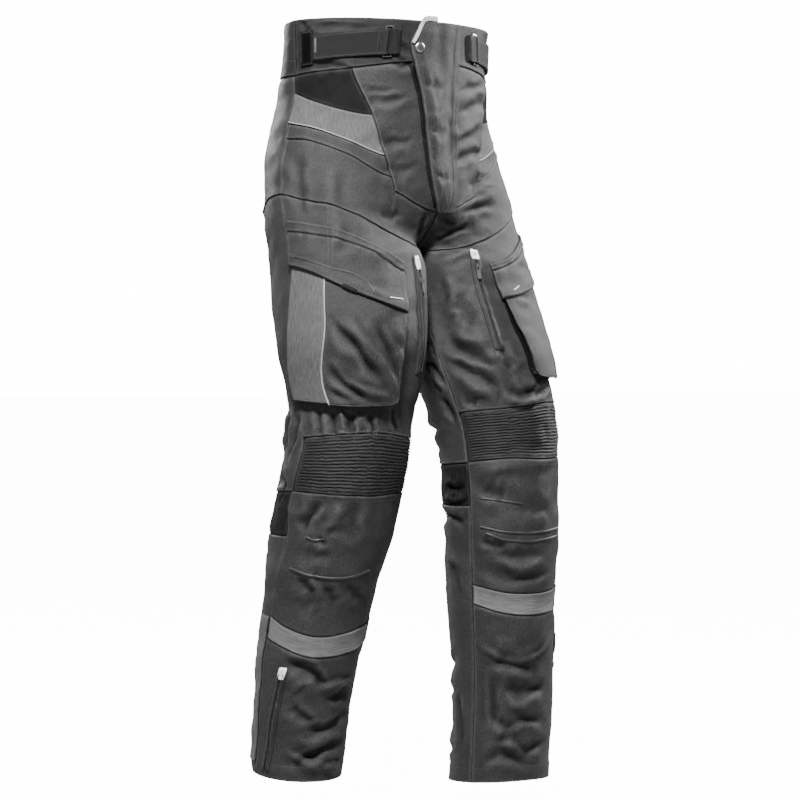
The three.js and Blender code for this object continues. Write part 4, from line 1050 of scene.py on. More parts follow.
blackLook = {
    # ridge: how strongly shade is painted into fold troughs and highlight onto fold ridges
    "threads": 1500.0, "slub": 0.7, "mottle": 0.55, "ridge": 1.0,
    # the rub strength and its lighter colour paint a band beside each seam, part wear and part painted
    # highlight
    "dark": grey(0.009, -0.01), "light": grey(0.026, -0.01), "worn": grey(0.055), "rub": 0.32,
    "bump": 0.00025, "relief": 0.6, "rough": 0.5, "sheen": 0.04, "gloss": 0.26,
}
yarn = {"streaks": (420.0, 260.0, 1.0), "heather": 0.5, "fleck": grey(0.05), "dark": grey(0.006),
        "light": grey(0.018)}
clothLooks = {  # each is the black look with its own changes
    "black": ("blackNylonWeave", yarn),
    # waistband and zip lips: a darker copy of the black cloth, painted shade
    "waist": ("blackWaistWeave", {
        **yarn, "dark": grey(0.003), "light": grey(0.010), "fleck": grey(0.024), "gloss": 0.2}),
    # the pouch's side walls: the same black cloth made darker, as painted shadow
    "gusset": ("blackGussetCloth", {
        "dark": grey(0.0012), "light": grey(0.004), "worn": grey(0.012), "gloss": 0.08}),
    "ribbed": ("blackRibbedCloth", {"ridge": 1.2, "dark": grey(0.005), "light": grey(0.014)}),
    "stretch": ("darkStretchCloth", {
        "threads": 2200.0, "dark": grey(0.004), "light": grey(0.009), "mottle": 0.2, "sheen": 0.02,
        "rough": 0.75, "gloss": 0.1}),
    "heather": ("greyHeatherWeave", {
        "dark": grey(0.026), "light": grey(0.062), "worn": grey(0.09), "mottle": 0.22, "heather": 0.7,
        "ridge": 0.35, "fleck": grey(0.13), "streaks": (620.0, 70.0, 1.0), "rough": 0.7, "sheen": 0.05,
        "gloss": 0.3}),
    "band": ("greyBandWeave", {
        "dark": grey(0.05), "light": grey(0.11), "worn": grey(0.15), "mottle": 0.22, "heather": 0.75,
        "fleck": grey(0.21), "streaks": (30.0, 700.0, 1.0), "rough": 0.7, "ridge": 0.35, "gloss": 0.3}),
    "lining": ("blackLining", {
        "threads": 3000.0, "dark": grey(0.016), "light": grey(0.024), "rough": 0.5, "slub": 0.2}),
    "webbing": ("blackWebbing", {
        "threads": 700.0, "gloss": 0.2, "dark": grey(0.003), "light": grey(0.010), "bump": 0.0006,
        "relief": 0.8}),
    "hook": ("blackHookTape", {
        "threads": 900.0, "dark": grey(0.001), "light": grey(0.003), "sheen": 0.0, "gloss": 0.04,
        "rough": 0.85}),
    "film": ("silverFilm", {
        "threads": 2500.0, "slub": 0.15, "dark": grey(0.55), "light": grey(0.62), "worn": grey(0.7),
        "mottle": 0.1, "rough": 0.42, "sheen": 0.0, "gloss": 0.5, "relief": 0.25}),
    "zipTape": ("blackZipTape", {"threads": 1800.0, "dark": grey(0.010), "light": grey(0.02), "rough": 0.75}),
    "piping": ("silverPiping", {
        "threads": 1500.0, "dark": grey(0.24), "light": grey(0.36), "worn": grey(0.5), "rough": 0.45,
        "sheen": 0.05}),
}
materials = {key: clothMaterial(name, {**blackLook, **own}) for key, (name, own) in clothLooks.items()}


def threadMaterial(name, colour):
    material, w = newMaterial(name)
    place = w.node("ShaderNodeTexCoord").outputs["Object"]
    twist = w.noise(place, 2600.0, 2.0)
    shade = w.mix(twist, tuple(0.6 * c for c in colour[:3]) + (1.0,), colour)
    bump = w.node("ShaderNodeBump", Height=twist, Distance=0.0002, Strength=0.5)
    rough = w.math("ADD", w.math("MULTIPLY", twist, 0.2), 0.4)
    shader = w.node("ShaderNodeBsdfPrincipled", Base_Color=shade, Roughness=rough, Normal=bump.outputs[0])
    shader.inputs["Sheen Weight"].default_value = 0.2
    finishMaterial(w, shader)
    return material


def metalMaterial(name, look):
    # brushed metal: fine scratches in roughness and bump, and a patchy tarnish
    material, w = newMaterial(name)
    place = w.node("ShaderNodeTexCoord").outputs["Object"]
    stretched = w.node("ShaderNodeMapping", Vector=place, Scale=(1.0, 0.15, 1.0)).outputs[0]
    scratches = w.noise(stretched, 1800.0, 4.0, 0.7)
    cloudy = w.noise(place, 160.0, 3.0, 0.6)
    colour = w.mix(w.math("MULTIPLY", cloudy, look["cloud"]), look["colour"], look["tarnish"])
    rough = w.math("ADD", w.math("MULTIPLY", scratches, 0.18), look["rough"])
    bump = w.node("ShaderNodeBump", Height=scratches, Distance=0.0001, Strength=0.35)
    shader = w.node("ShaderNodeBsdfPrincipled", Base_Color=colour, Roughness=rough, Normal=bump.outputs[0])
    shader.inputs["Metallic"].default_value = look["metallic"]
    finishMaterial(w, shader)
    return material


materials["thread"] = threadMaterial("greyThread", grey(0.022))
materials["blackThread"] = threadMaterial("blackThread", grey(0.012))
materials["metal"] = metalMaterial("satinNickel", {
    "colour": grey(0.46), "tarnish": grey(0.3), "cloud": 0.6, "rough": 0.22, "metallic": 0.95})
materials["darkMetal"] = metalMaterial("gunmetal", {
    "colour": grey(0.16), "tarnish": grey(0.08), "cloud": 0.6, "rough": 0.3, "metallic": 0.85})
print("materials made:", len(materials))

# Cut pieces: name, area, lines and columns they reach between, cloth, the kinds of their top, bottom, inner
# and outer edges, and the rows of stitches at a distance from each edge
fine = 3.6
hipStitches = {"outer": [2.0, 8.0], "bottom": [2.0]}
panelPlan = [
    # the waistband takes the darker waist cloth, painted shade
    ("frontWaistband", "front", ("waist edge", "waistband foot"), (0, 12), "waist",
     "turned over turned under", {"top": [2.2], "bottom": [1.8]}),
    ("centreFrontPanel", "front", ("waistband foot", "centre panel foot"), (0, 5), "black",
     "under over butted over", {"bottom": [2.0], "outer": [2.0]}),
    ("hipYoke", "front", ("waistband foot", "hip panel top"), (5, 12), "stretch",
     "under under under under", {}),
    ("hipPanel", "front", ("hip panel top", "hip panel foot"), (5, 12), "heather",
     "over over under over", hipStitches),
    ("hipPocketWelt", "front", ("hip panel foot", "welt foot"), (5, 12), "black",
     "under over under over", hipStitches),
    ("upperFrontPanel", "front", ("welt foot", "thigh seam"), (0, 5, 12), "black",
     "under over under over", {"bottom": [2.0], "outer": [2.0, 8.0]}),
    ("thighPanel", "front", ("thigh seam", "knee top"), (0, 12), "black",
     "under over over over", {"bottom": [2.0, 8.0], "outer": [2.0, 8.0], "inner": [2.0]}),
    ("kneePanel", "front", ("knee top", "knee foot"), (0, 12), "ribbed",
     "under under under under", {}),
    ("shinPanel", "front", ("knee foot", "band top"), (0, 12), "black",
     "over under over over", {"top": [2.0, 8.0], "outer": [2.0, 8.0], "inner": [2.0]}),
    ("shinBand", "front", ("band top", "band foot"), (0, 12), "band",
     "over over under under", {"top": [1.8], "bottom": [1.8]}),
    ("lowerFrontPanel", "front", ("band foot", "hem"), (0, 12), "black",
     "under turned over over", {"bottom": [20.0], "inner": [2.0], "outer": [2.0]}),
    ("seatPanel", "back", ("waistband foot", "thigh seam"), (0, 10), "black",
     "under over under butted", {"bottom": [2.0], "outer": [2.0, 8.0]}),
    ("backThighPanel", "back", ("thigh seam", "knee foot"), (0, 10), "black",
     "under over under under", {"bottom": [2.0]}),
    ("kneeBackPanel", "back", ("knee foot", "knee back foot"), (0, 10), "stretch",
     "under under under under", {}),
    ("calfPanel", "back", ("knee back foot", "hem"), (0, 10), "black",
     "over turned under under", {"top": [2.0], "bottom": [20.0]}),
]
ribs = {"count": 18, "height": 2.1, "sideFade": 9.0, "wander": 0.16}


def nodeName(name, side):
    words = "".join("_" + c.lower() if c.isupper() else c for c in name)
    return f"{words}_{side}"


def ribHeight(row, col, x, y, distance):
    # rows of rounded ribs that wander a little, pinched where the elastic is sewn, dying out at the sides
    low, high = lineRow["knee top"], lineRow["knee foot"]
    phase = (row - low) / (high - low) * ribs["count"]
    jump = ripple.at(x / 7, y / 5 + 50) + 0.8 * swell.at(x / 26, y / 16)
    pinch = np.exp(-(((col - 7.4) / 0.3) ** 2)) + np.exp(-(((col - 3.4) / 0.3) ** 2))
    phase = phase + ribs["wander"] * jump * (1 + 1.6 * pinch)
    sides = smoothStep((np.minimum(distance["inner"], distance["outer"]) - 3) / ribs["sideFade"])
    ends = smoothStep(np.minimum(distance["top"], distance["bottom"]) / 2.0)
    wave = np.abs(np.sin(math.pi * phase)) ** 0.8
    return ribs["height"] * (wave - 0.35) * sides * ends * (1 - 0.25 * pinch)


def elasticHeight(row, col, x, y, distance):
    # fine upright gathers of a stretch panel, held flat where it is sewn
    wave = np.sin(2 * math.pi * (x / 7.5 + 0.9 * ripple.at(x / 24, y / 22)))
    held = smoothStep(distance["top"] / 9) * smoothStep(distance["bottom"] / 9)
    return 0.9 * wave * held * (0.6 + 0.4 * swell.at(x / 30, y / 30))


nets = {}
for side in ("right", "left"):
    for name, area, rowNames, cols, cloth, edges, sewn in panelPlan:
        rows = [lineRow[rowNames[0]], lineRow[rowNames[1]]]
        cut = None
        if name == "upperFrontPanel":
            rows.insert(1, lineRow["centre panel foot"])
            cut = {"row": rows[1], "col": cols[1]}
        spacing = {"kneePanel": 1.05, "kneeBackPanel": 2.2}.get(name, fine)
        extra = {"kneePanel": ribHeight, "kneeBackPanel": elasticHeight}.get(name)
        net = makeNet(side, area, rows, cols, spacing, cut, edges, extra)
        nets[name, side] = net
        addCloth(f"{name}{side.capitalize()}", net, f"{cloth} lining", [nodeName(name, side)])
        sewEdges(f"seams{side.capitalize()}", net, sewn)
    print("panels made on the", side)

# Pieces that lie over the panels. "rim" is the side of a pouch: distances in from its outline against the
# share of its height, a folded wall that stands up, turns in and carries the face a little over itself.
rim = {"in": [0.8, 2.6, 3.4, 2.6, 0.9, 0.2, 0.6, 2.0, 4.5, 8.0],
       "up": [0.0, 0.2, 0.48, 0.74, 0.9, 0.97, 1.03, 1.05, 1.02, 1.0]}
plainEdge = {"in": [0.0, 0.6, 1.6, 3.2], "up": [1.0, 1.0, 1.0, 1.0]}


def rimParams(side, area, limits, fixed, isRow, spacing, start, end):
    # part-way rows or columns with the rim's insets at chosen ends, and the share of height at each
    dense = np.linspace(limits[0], limits[1], 160)
    place = lattice(side, area, dense, [fixed]) if isRow else lattice(side, area, [fixed], dense)
    arc = arcs(form(side, *place), 0 if isRow else 1).ravel()
    insets = np.array(start["in"])
    tail = arc[-1] - np.array(end["in"])[::-1]
    steps = max(int((tail[0] - insets[-1]) / spacing), 2)
    middle = np.linspace(insets[-1], tail[0], steps + 1)[1:-1]
    share = np.concatenate([start["up"], np.ones(len(middle)), end["up"][::-1]])
    at = np.concatenate([insets, middle, tail])
    return np.interp(at, arc, dense), share, at


def layerNet(side, area, rowParams, colParams, height, edges="", extra=None, fold=1.0, shift=None,
             moved=None):
    # a net above the cloth: "height" over it at each point, then edges, puckers and extra as on a panel
    row, col = np.meshgrid(rowParams, colParams, indexing="ij")
    turn, down = lattice(side, area, row, moved(row, col) if moved else col)
    base, out = surface(side, turn, down, fold)
    raisedBase = base + out * height(row, col)[..., None]
    if shift is not None:
        raisedBase = raisedBase + shift(base)
    return finishNet(side, area, rowParams, colParams, turn, down, raisedBase, out, edges, extra)


pocket = {"depth": 12.0, "mouth": 3.0, "corner": 15.0, "wall": 1.2, "gap": 0.6, "creaseGain": 1.7}
pocketCreases = {  # line of (turn, down), width and height, below 0 for a trough
    "right": [
        ([(0.40, 420), (0.33, 458), (0.262, 506)], 6, -3.4),
        ([(0.30, 430), (0.255, 468), (0.205, 516)], 6.5, -3.0),
        ([(0.40, 468), (0.352, 500), (0.30, 522)], 6, -2.8),
        ([(0.365, 420), (0.30, 462), (0.25, 490)], 7, 2.8),
        ([(0.335, 500), (0.30, 512), (0.25, 520)], 6.5, 2.2),
        ([(0.23, 430), (0.205, 462), (0.19, 500)], 6, -2.2),
        ([(0.40, 500), (0.37, 512), (0.34, 524)], 6, -2.0),
    ],
    "left": [
        ([(0.235, 402), (0.262, 414), (0.3, 418)], 8, -1.2),
        ([(0.24, 420), (0.256, 428), (0.285, 424)], 7, 0.8),
        ([(0.38, 470), (0.43, 490), (0.46, 515)], 9, -1.2),
    ],
}
mouthRow, lipRow, footRow = lineRow["pocket mouth"], lineRow["flap foot"], lineRow["pocket foot"]


def pocketDepth(row, col):
    # depth of the pouch down its rows and over its columns, with its own slack creases
    down = np.interp(row, [mouthRow, lipRow, lipRow + 1, lipRow + 2, lipRow + 3, footRow],
                     [pocket["mouth"], 5.5, 9, 11, pocket["depth"], 0.95 * pocket["depth"]])
    across = np.interp(col, [5, 6, 9, 10, 11, 12], [0.97, 1, 0.97, 0.88, 0.72, 0.6])
    return down * across


def pocketSlack(side):
    def slack(row, col, x, y, distance):
        height = np.zeros(row.shape)
        for path, width, rise in pocketCreases[side]:
            places = np.array([flat(side, *place) for place in path])
            height += creaseHeight(x, y, places, width, rise * pocket["creaseGain"])
        held = np.minimum(np.minimum(distance["inner"], distance["bottom"]), distance["outer"] + 6)
        return height * smoothStep((held - 10) / 14) + 0.9 * swell.at(x / 19 + 4, y / 14 + 9)
    return slack


def cornerShift(colInsets, rowInsets):
    # rounds the lower inner corner: a square corner's places drawn in to a quarter disc
    def shift(base):
        radius = pocket["corner"]
        a = np.broadcast_to(colInsets[None, :], base.shape[:2])
        b = np.broadcast_to((rowInsets[-1] - rowInsets)[:, None], base.shape[:2])
        px, py = np.clip((radius - a) / radius, 0, 1), np.clip((radius - b) / radius, 0, 1)
        qx, qy = px * np.sqrt(1 - py**2 / 2), py * np.sqrt(1 - px**2 / 2)
        inward, upward = unit(np.gradient(base, axis=1)), -unit(np.gradient(base, axis=0))
        colIndex, rowIndex = np.arange(base.shape[1])[None, :, None], np.arange(base.shape[0])[:, None, None]
        inward = np.where(colIndex < 10, inward[:, 12:13], inward)
        upward = np.where(rowIndex > base.shape[0] - 11, upward[-14:-13], upward)
        return inward * (radius * (px - qx))[..., None] + upward * (radius * (py - qy))[..., None]
    return shift


def stripEdge(row, col):
    # the strip's edge runs nearly upright, so the columns beside it shift with the row
    edge = np.interp(row, [mouthRow, lipRow + 2, footRow], [10.05, 10.1, 10.17])
    return np.where(col <= 10, 5 + (col - 5) * (edge - 5) / 5, 12 - (12 - col) * (12 - edge) / 2)


pocketPieces = [  # name, ends of its columns, what its inner and outer ends are, cloth
    ("cargoPocket", (frontColumns["centre"] + 0.03, frontColumns["strip"] - 0.01), rim, plainEdge, "black"),
    ("pocketStrip", (frontColumns["strip"] + 0.01, frontColumns["side"] - 0.05), plainEdge, rim, "heather"),
]
for side in ("right", "left"):
    word = side.capitalize()
    rowsOf, rowUp, rowInsets = rimParams(side, "front", (mouthRow + 0.03, footRow - 0.03), 8, True, fine,
                                         plainEdge, rim)
    for name, limits, start, end, cloth in pocketPieces:
        colsOf, colUp, colInsets = rimParams(side, "front", limits, (mouthRow + footRow) / 2, False, fine,
                                             start, end)

        def height(row, col, rowUp=rowUp, colUp=colUp):
            share = np.minimum(rowUp[:, None], colUp[None, :])
            return pocket["gap"] + pocketDepth(row, col) * share

        isFace = name == "cargoPocket"
        shift = cornerShift(colInsets, rowInsets) if isFace else None
        extra = pocketSlack(side) if isFace else None
        net = layerNet(side, "front", rowsOf, colsOf, height, "", extra, 0.6, shift, stripEdge)
        nets[name, side] = net
        # the side walls round the pouch take its third cloth, the darker gusset, as painted shadow
        net["band"] = np.zeros(net["mask"].shape, bool)
        net["band"][-7:] = True
        net["band"][:, slice(None, 7) if isFace else slice(-7, None)] = True
        addCloth(f"{name}{word}", net, f"{cloth} lining gusset", [nodeName(name, side)],
                 inner=net["points"] - net["out"] * pocket["wall"])
    face, strip = nets["cargoPocket", side], nets["pocketStrip", side]
    sewEdges(f"seams{word}", face, {"inner": [16.0, 19.5], "bottom": [16.0], "outer": [2.0]})
    sewEdges(f"seams{word}", strip, {"inner": [2.0], "bottom": [16.0]})
    edge = edgeLine(strip, "inner", 0.3, (1.0, 10.0))
    addTube(f"pocketPiping{word}", edge, 1.1, 1.0, "piping", lift=0.5)
    low = edgeLine(face, "bottom", 13.0, (14.0, 0.5))
    addTube(f"pocketFootEdge{word}", low, 0.6, 0.5, "thread", 6, lift=0.2)

# Flap: its top band is sewn flat, and the rest stands off over the pocket's mouth
flapPlan = {"rows": (lineRow["flap top"] + 0.03, lineRow["flap foot"]), "cols": (4.88, 11.96), "wall": 1.8,
            "bar": {"right": [(0.272, 401), (0.236, 405)], "left": [(0.238, 408), (0.262, 398)]}}
hinge = lineRow["flap hinge"]


def flapHeight(row, col):
    lift = np.interp(row, [flapPlan["rows"][0], hinge, mouthRow, mouthRow + 0.16, lipRow],
                     [0, 0.5, 3.8, 4.5, 6.8])
    across = np.interp(col, [4.88, 5.05, 6, 10, 11, 11.96], [0.45, 0.9, 1, 0.96, 0.9, 0.66])
    return 0.5 + flapPlan["wall"] + lift * across


def flapExtra(row, col, x, y, distance):
    # a sewn groove at the hinge, a fold over the lower facing, and slack between them
    groove = 0.7 * np.exp(-(((row - hinge + 0.25) / 0.2) ** 2)) - 1.1 * np.exp(-(((row - hinge) / 0.07) ** 2))
    step = 0.8 * smoothStep((distance["bottom"] - 1) / 1.5) * smoothStep((17 - distance["bottom"]) / 2)
    slackHeight = 1.1 * swell.at(x / 24 + 3, y / 15 + 6) * smoothStep(distance["bottom"] / 12)
    curl = 1.0 * np.exp(-distance["bottom"] / 7) * swell.at(x / 30 + 11, y / 90)
    sewn = 0.8 * ripple.at(x / 4.6 + 8, y / 60) * np.exp(-(((row - hinge) / 0.35) ** 2))
    return groove + sewn + step + (slackHeight + curl) * smoothStep(distance["top"] / 10)


for side in ("right", "left"):
    word = side.capitalize()
    rowLimits = [flapPlan["rows"][0], hinge, flapPlan["rows"][1]]
    rowsOf, colsOf = gradedParams(side, "front", rowLimits, flapPlan["cols"], 3.4)
    net = layerNet(side, "front", rowsOf, colsOf, flapHeight, "over turned turned turned", flapExtra, 0.7)
    nets["pocketFlap", side] = net
    addCloth(f"pocketFlap{word}", net, "black lining", [nodeName("pocketFlap", side)],
             wall=flapPlan["wall"])
    group = f"seams{word}"
    sewEdges(group, net, {"top": [2.0, 7.0], "bottom": [2.2, 16.5], "inner": [2.2, 9.0], "outer": [2.2]})
    onFlap = [(0.38, 285), (0.393, 310), (0.403, 352), (0.41, 386)]
    onThigh = [(0.365, 262), (0.378, 285), (0.387, 297)]
    for offset in (-3.2, 3.2):
        sew(group, placeLine(net, onFlap, offset=offset))
        sew(group, placeLine(nets["thighPanel", side], onThigh, offset=offset))
    addTube(f"flapBar{word}", placeLine(net, flapPlan["bar"][side], 1.0), 0.9, 0.3, "film", lift=0.25)
    if side == "right":
        label = placeLine(net, [(0.376, 380), (0.345, 390)], 1.0)
        addTube(f"flapLabel{word}", label, 3.2, 0.5, "webbing", lift=0.5)
print("pockets made")

# Zips: a tape with two rows of teeth between two raised lips of cloth, and a light cover over the upper end
ventZip = {"foot": 498.0, "turnTop": 0.156, "turnFoot": 0.15, "girth": 600.0, "gap": 1.0}
hemZip = {"top": 878.0, "foot": 1036.0, "turnTop": 0.408, "turnFoot": 0.447, "girth": 430.0, "gap": 0.5}
zipPlan = {
    ("ventZip", "right"): {**ventZip, "top": 356.0},
    ("ventZip", "left"): {**ventZip, "top": 344.0},
    ("hemZip", "right"): hemZip,
    ("hemZip", "left"): hemZip,
}
tape = {"half": 5.6, "wall": 0.7, "rows": 74, "columns": 9}
teeth = {"pitch": 1.45, "length": 1.9, "aside": 0.75, "up": 0.25, "stagger": 0.35}
lip = {"across": [8.6, 7.4, 6.0, 4.6, 3.4, 2.5, 1.9, 1.7, 2.1],
       "up": [0.1, 1.0, 2.0, 2.8, 3.3, 3.3, 2.7, 2.0, 1.5]}
cover = {"down": [-6, -5.5, -4.5, -3, -1, 2, 6, 10, 12.5, 13.7, 14.2],
         "half": [3.4, 4.6, 5.4, 5.8, 6.0, 6.0, 5.9, 5.6, 5.3, 4.9, 4.2],
         "share": [-1, -0.94, -0.8, -0.5, 0, 0.5, 0.8, 0.94, 1]}


def zipNet(side, zipPlace, downs, across, height):
    # a net along a zip: "across" in millimetres from its middle, "height" over the cloth
    down = np.repeat(downs[:, None], across.shape[-1], 1)
    share = (down - zipPlace["top"]) / (zipPlace["foot"] - zipPlace["top"])
    turn = zipPlace["turnTop"] + (zipPlace["turnFoot"] - zipPlace["turnTop"]) * share
    turn = turn + across / zipPlace["girth"]
    base, out = surface(side, turn, down)
    rowParams, colParams = np.arange(len(downs), dtype=float), np.arange(across.shape[-1], dtype=float)
    return finishNet(side, "front", rowParams, colParams, turn, down, base + out * height[..., None], out)


for (name, side), plan in zipPlan.items():
    word = side.capitalize()
    downs = np.linspace(plan["top"], plan["foot"], tape["rows"])
    across = np.tile(np.linspace(-tape["half"], tape["half"], tape["columns"]), (len(downs), 1))
    net = zipNet(side, plan, downs, across, np.full(across.shape, plan["gap"] + 0.1))
    addCloth(f"{name}Tape{word}", net, "zipTape zipTape", [nodeName(name, side)],
             wall=tape["wall"])
    for sign, place in ((-1, "Inner"), (1, "Outer")):
        wave = 0.35 * ripple.at(downs / 11 + 5 * sign, downs * 0 + 3)
        close = 1 - np.clip((plan["top"] + 10 - downs) / 10, 0, 1) * 0.2
        gap = np.exp(-(((downs - plan["top"] - 62) / 46) ** 2)) if name == "ventZip" else np.zeros(len(downs))
        lipAcross = np.array(lip["across"])[None, :] * close[:, None] + wave[:, None] + 0.9 * gap[:, None]
        lipUp = np.array(lip["up"])[None, :] * (1 + 0.16 * wave[:, None])
        ends = smoothStep(np.minimum(downs - plan["top"], plan["foot"] - downs) / 5.0)[:, None]
        if sign > 0:
            lipAcross, lipUp = lipAcross[:, ::-1], lipUp[:, ::-1]
        lipNet = zipNet(side, plan, downs, sign * lipAcross, 0.1 + lipUp * (0.35 + 0.65 * ends))
        # the lips take the darker waist cloth, painted shade
        addCloth(f"{name}Lip{place}{word}", lipNet, "waist lining", (), wall=0.8)
        sew("tucks", edgeLine(lipNet, "inner" if sign < 0 else "outer", 2.2))
    points, normals = net["points"][2:-2, 4], net["out"][2:-2, 4]
    arc = np.insert(np.cumsum(np.linalg.norm(np.diff(points, axis=0), axis=1)), 0, 0)
    at = np.arange(1.0, arc[-1], teeth["pitch"])
    middle = np.stack([np.interp(at, arc, points[:, k]) for k in range(3)], -1)
    normal = unit(np.stack([np.interp(at, arc, normals[:, k]) for k in range(3)], -1))
    along = unit(np.gradient(middle, axis=0))
    acrossWay = np.cross(normal, along)
    for sign in (-1, 1):
        centre = middle + acrossWay * teeth["aside"] * sign + normal * teeth["up"]
        centre = centre + along * teeth["stagger"] * sign
        threads.setdefault("zipTeeth", []).append(
            (centre, acrossWay, np.cross(normal, acrossWay), normal, np.full(len(at), teeth["length"])))
    # the light cover: a rounded tab over the upper end
    v = np.array(cover["down"])
    tabAcross = np.array(cover["share"])[None, :] * np.array(cover["half"])[:, None]
    crown = 0.9 * np.sqrt(np.clip(1 - (tabAcross / 6.3) ** 2, 0, 1)) * smoothStep((v[:, None] + 6.5) / 3)
    tabNet = zipNet(side, plan, plan["top"] + v, tabAcross, plan["gap"] + 2.0 + crown)
    addCloth(f"{name}Cover{word}", tabNet, "film lining", [nodeName(name + "Cover", side)],
             wall=1.2)
    sew(f"seams{word}", edgeLine(tabNet, "bottom", 1.6, (0.8, 0.8)))
addThreads("zipTeeth", "zipTeeth", "darkMetal")
print("zips made")

# Waist adjuster: a strap that folds back round one bar of a ring, and a sewn tab round the other
ringPlan = {"near": 2.8, "far": 3.28, "bar": 0.08, "slack": 0.03}
strapPlan = {"start": 11.2, "finish": 10.1, "low": 0.5, "high": 6.0, "flat": 3.7, "wall": 1.3}
tabPlan = {"start": 2.3, "finish": 2.36, "low": 0.5, "high": 5.9, "flat": 3.9, "wall": 1.3}
patchPlan = {"rows": (-0.3, 0.35), "cols": (10.12, 11.25), "height": 2.5}
tagPlan = {"rows": (0.1, -0.25), "cols": (9.55, 9.95), "height": 5.1}
strapRows = (lineRow["strap top"] + 0.05, lineRow["strap foot"] - 0.05)


def strapLoop(side, bend, sign, plan):
    # columns and heights of the outer and inner face: out along the cloth, round the bar, and back over
    scale = arcs(form(side, *lattice(side, "front", [sum(strapRows) / 2], [3.0, 4.0])), 1)[0, 1]
    start, finish, low, high = plan["start"], plan["finish"], plan["low"], plan["high"]
    centre, radius = (low + high) / 2, (high - low) / 2
    angle = np.linspace(-0.5, 0.5, 9) * math.pi
    n = max(int(abs(bend - start) * scale / 3.5), 2)
    m = max(int(abs(finish - bend) * scale / 3.5), 2)
    paths = []
    for r in (radius, radius - plan["wall"]):
        lower = np.linspace(start, bend, n)
        upper = np.linspace(bend, finish, m)
        away = np.abs(upper - bend) * scale
        top = centre + r + (plan["flat"] - high) * smoothStep(away / 9)
        cols = np.concatenate([lower, bend - sign * r * np.cos(angle[1:-1]) / scale, upper])
        heights = np.concatenate([np.full(n, centre - r), centre + r * np.sin(angle[1:-1]), top])
        paths.append((cols, heights))
    return paths


def addStrap(name, side, node, paths):
    rowParams = np.array([0, 0.03, 0.08, 0.2, 0.4, 0.6, 0.8, 0.92, 0.97, 1.0])
    rowParams = strapRows[0] + (strapRows[1] - strapRows[0]) * rowParams
    faces = []
    for cols, heights in paths:
        turn, down = lattice(side, "front", rowParams, cols)
        base, out = surface(side, turn, down, 0.25)
        faces.append(base + out * heights[None, :, None])
    turn, down = lattice(side, "front", rowParams, paths[0][0])
    outer, inner = faces
    colParams = np.arange(outer.shape[1], dtype=float)
    net = finishNet(side, "front", rowParams, colParams, turn, down, outer, outer * 0)
    addCloth(name, net, "webbing webbing", [nodeName(node, side)], inner=inner)
    return outer


def overStrap(side, plan, spacing):
    # a flat net over the strap's rows, at an even height over the cloth
    limits = [strapRows[0] + plan["rows"][0], strapRows[1] + plan["rows"][1]]
    rows, cols = gradedParams(side, "front", limits, plan["cols"], spacing)
    return layerNet(side, "front", rows, cols, lambda row, col: plan["height"] + 0 * row, fold=0.4)


for side in ("right", "left"):
    word = side.capitalize()
    farBend = ringPlan["far"] - ringPlan["bar"] - ringPlan["slack"]
    nearBend = ringPlan["near"] + ringPlan["bar"] + ringPlan["slack"]
    paths = strapLoop(side, farBend, 1, strapPlan)
    outer = addStrap(f"waistStrap{word}", side, "waistStrap", paths)
    top = outer[:, len(paths[0][0]) // 2 + 6:]
    topOut = gridNormals(top, side == "right")
    for i in (2, 7):
        sew(f"seams{word}", (top[i], topOut[i]))
    for j in (-3, 5):
        sew(f"seams{word}", (top[1:-1, j], topOut[1:-1, j]))
    addStrap(f"ringTab{word}", side, "ringTab", strapLoop(side, nearBend, -1, tabPlan))
    # the patch of hook tape beside the strap's end, and a bare tag over it
    patch = overStrap(side, patchPlan, 4)
    addCloth(f"hookPatch{word}", patch, "hook hook", (), wall=0.9)
    sewEdges(f"seams{word}", patch, {"top": [1.6], "bottom": [1.6], "outer": [1.6]})
    tag = overStrap(side, tagPlan, 3)
    addCloth(f"strapTag{word}", tag, "heather lining", (), wall=0.8)
print("straps made")

# Calf strip, light cloth behind the side seam
calfPlan = {"cols": (0.05, 1.25), "aboveHem": 0.35, "height": 1.5, "wall": 1.1}
for side in ("right", "left"):
    rowLimits = [lineRow["band top"], lineRow["hem"] - calfPlan["aboveHem"]]
    rowsOf, colsOf = gradedParams(side, "back", rowLimits, calfPlan["cols"], 4)
    net = layerNet(side, "back", rowsOf, colsOf, lambda row, col: calfPlan["height"] + 0 * row,
                   "butted over over over")
    addCloth(f"calfStrip{side.capitalize()}", net, "heather lining", [nodeName("calfStrip", side)],
             wall=calfPlan["wall"])
    sewEdges(f"seams{side.capitalize()}", net, {"inner": [2.0], "outer": [2.0], "bottom": [2.0]})

# Back waistband: one piece from side seam to side seam, drawn in by elastic behind
gather = {"pitch": 9.0, "height": 1.5}
rowsOf, colsHalf = gradedParams("right", "back", [0, lineRow["waistband foot"]], [0, backColumns], fine - 0.6)
parts = []
for side in ("right", "left"):
    turn, down = lattice(side, "back", rowsOf, colsHalf)
    base, out = surface(side, turn, down)
    parts.append((turn, down, base, out))
joined = [np.concatenate([a, b[:, -2::-1]], 1) for a, b in zip(*parts)]
turn, down, base, out = joined
base[:, len(colsHalf) - 1, 0] = 0
allCols = np.concatenate([colsHalf, 2 * backColumns - colsHalf[-2::-1]])


def gathers(row, col, x, y, distance):
    # upright folds that wander, held down where the band is sewn
    s = np.minimum(distance["inner"], distance["outer"])
    wander = 0.8 * swell.at(distance["inner"] / 30, y / 40)
    wave = np.sin(2 * math.pi * (distance["inner"] / gather["pitch"] + wander))
    held = smoothStep(distance["top"] / 12) * smoothStep(distance["bottom"] / 12) * smoothStep((s - 25) / 40)
    return gather["height"] * wave * held * (0.6 + 0.4 * ripple.at(distance["inner"] / 14, y / 25))


net = finishNet("both", "back", rowsOf, allCols, turn, down, base, out, "turned over butted butted", gathers)
# the band takes the darker waist cloth, painted shade
addCloth("backWaistband", net, "waist lining", ["back_waistband"])
sewEdges("seamsRight", net, {"top": [2.2, 24.0], "bottom": [1.8, 20.0]})
print("back waistband and calf strips made")
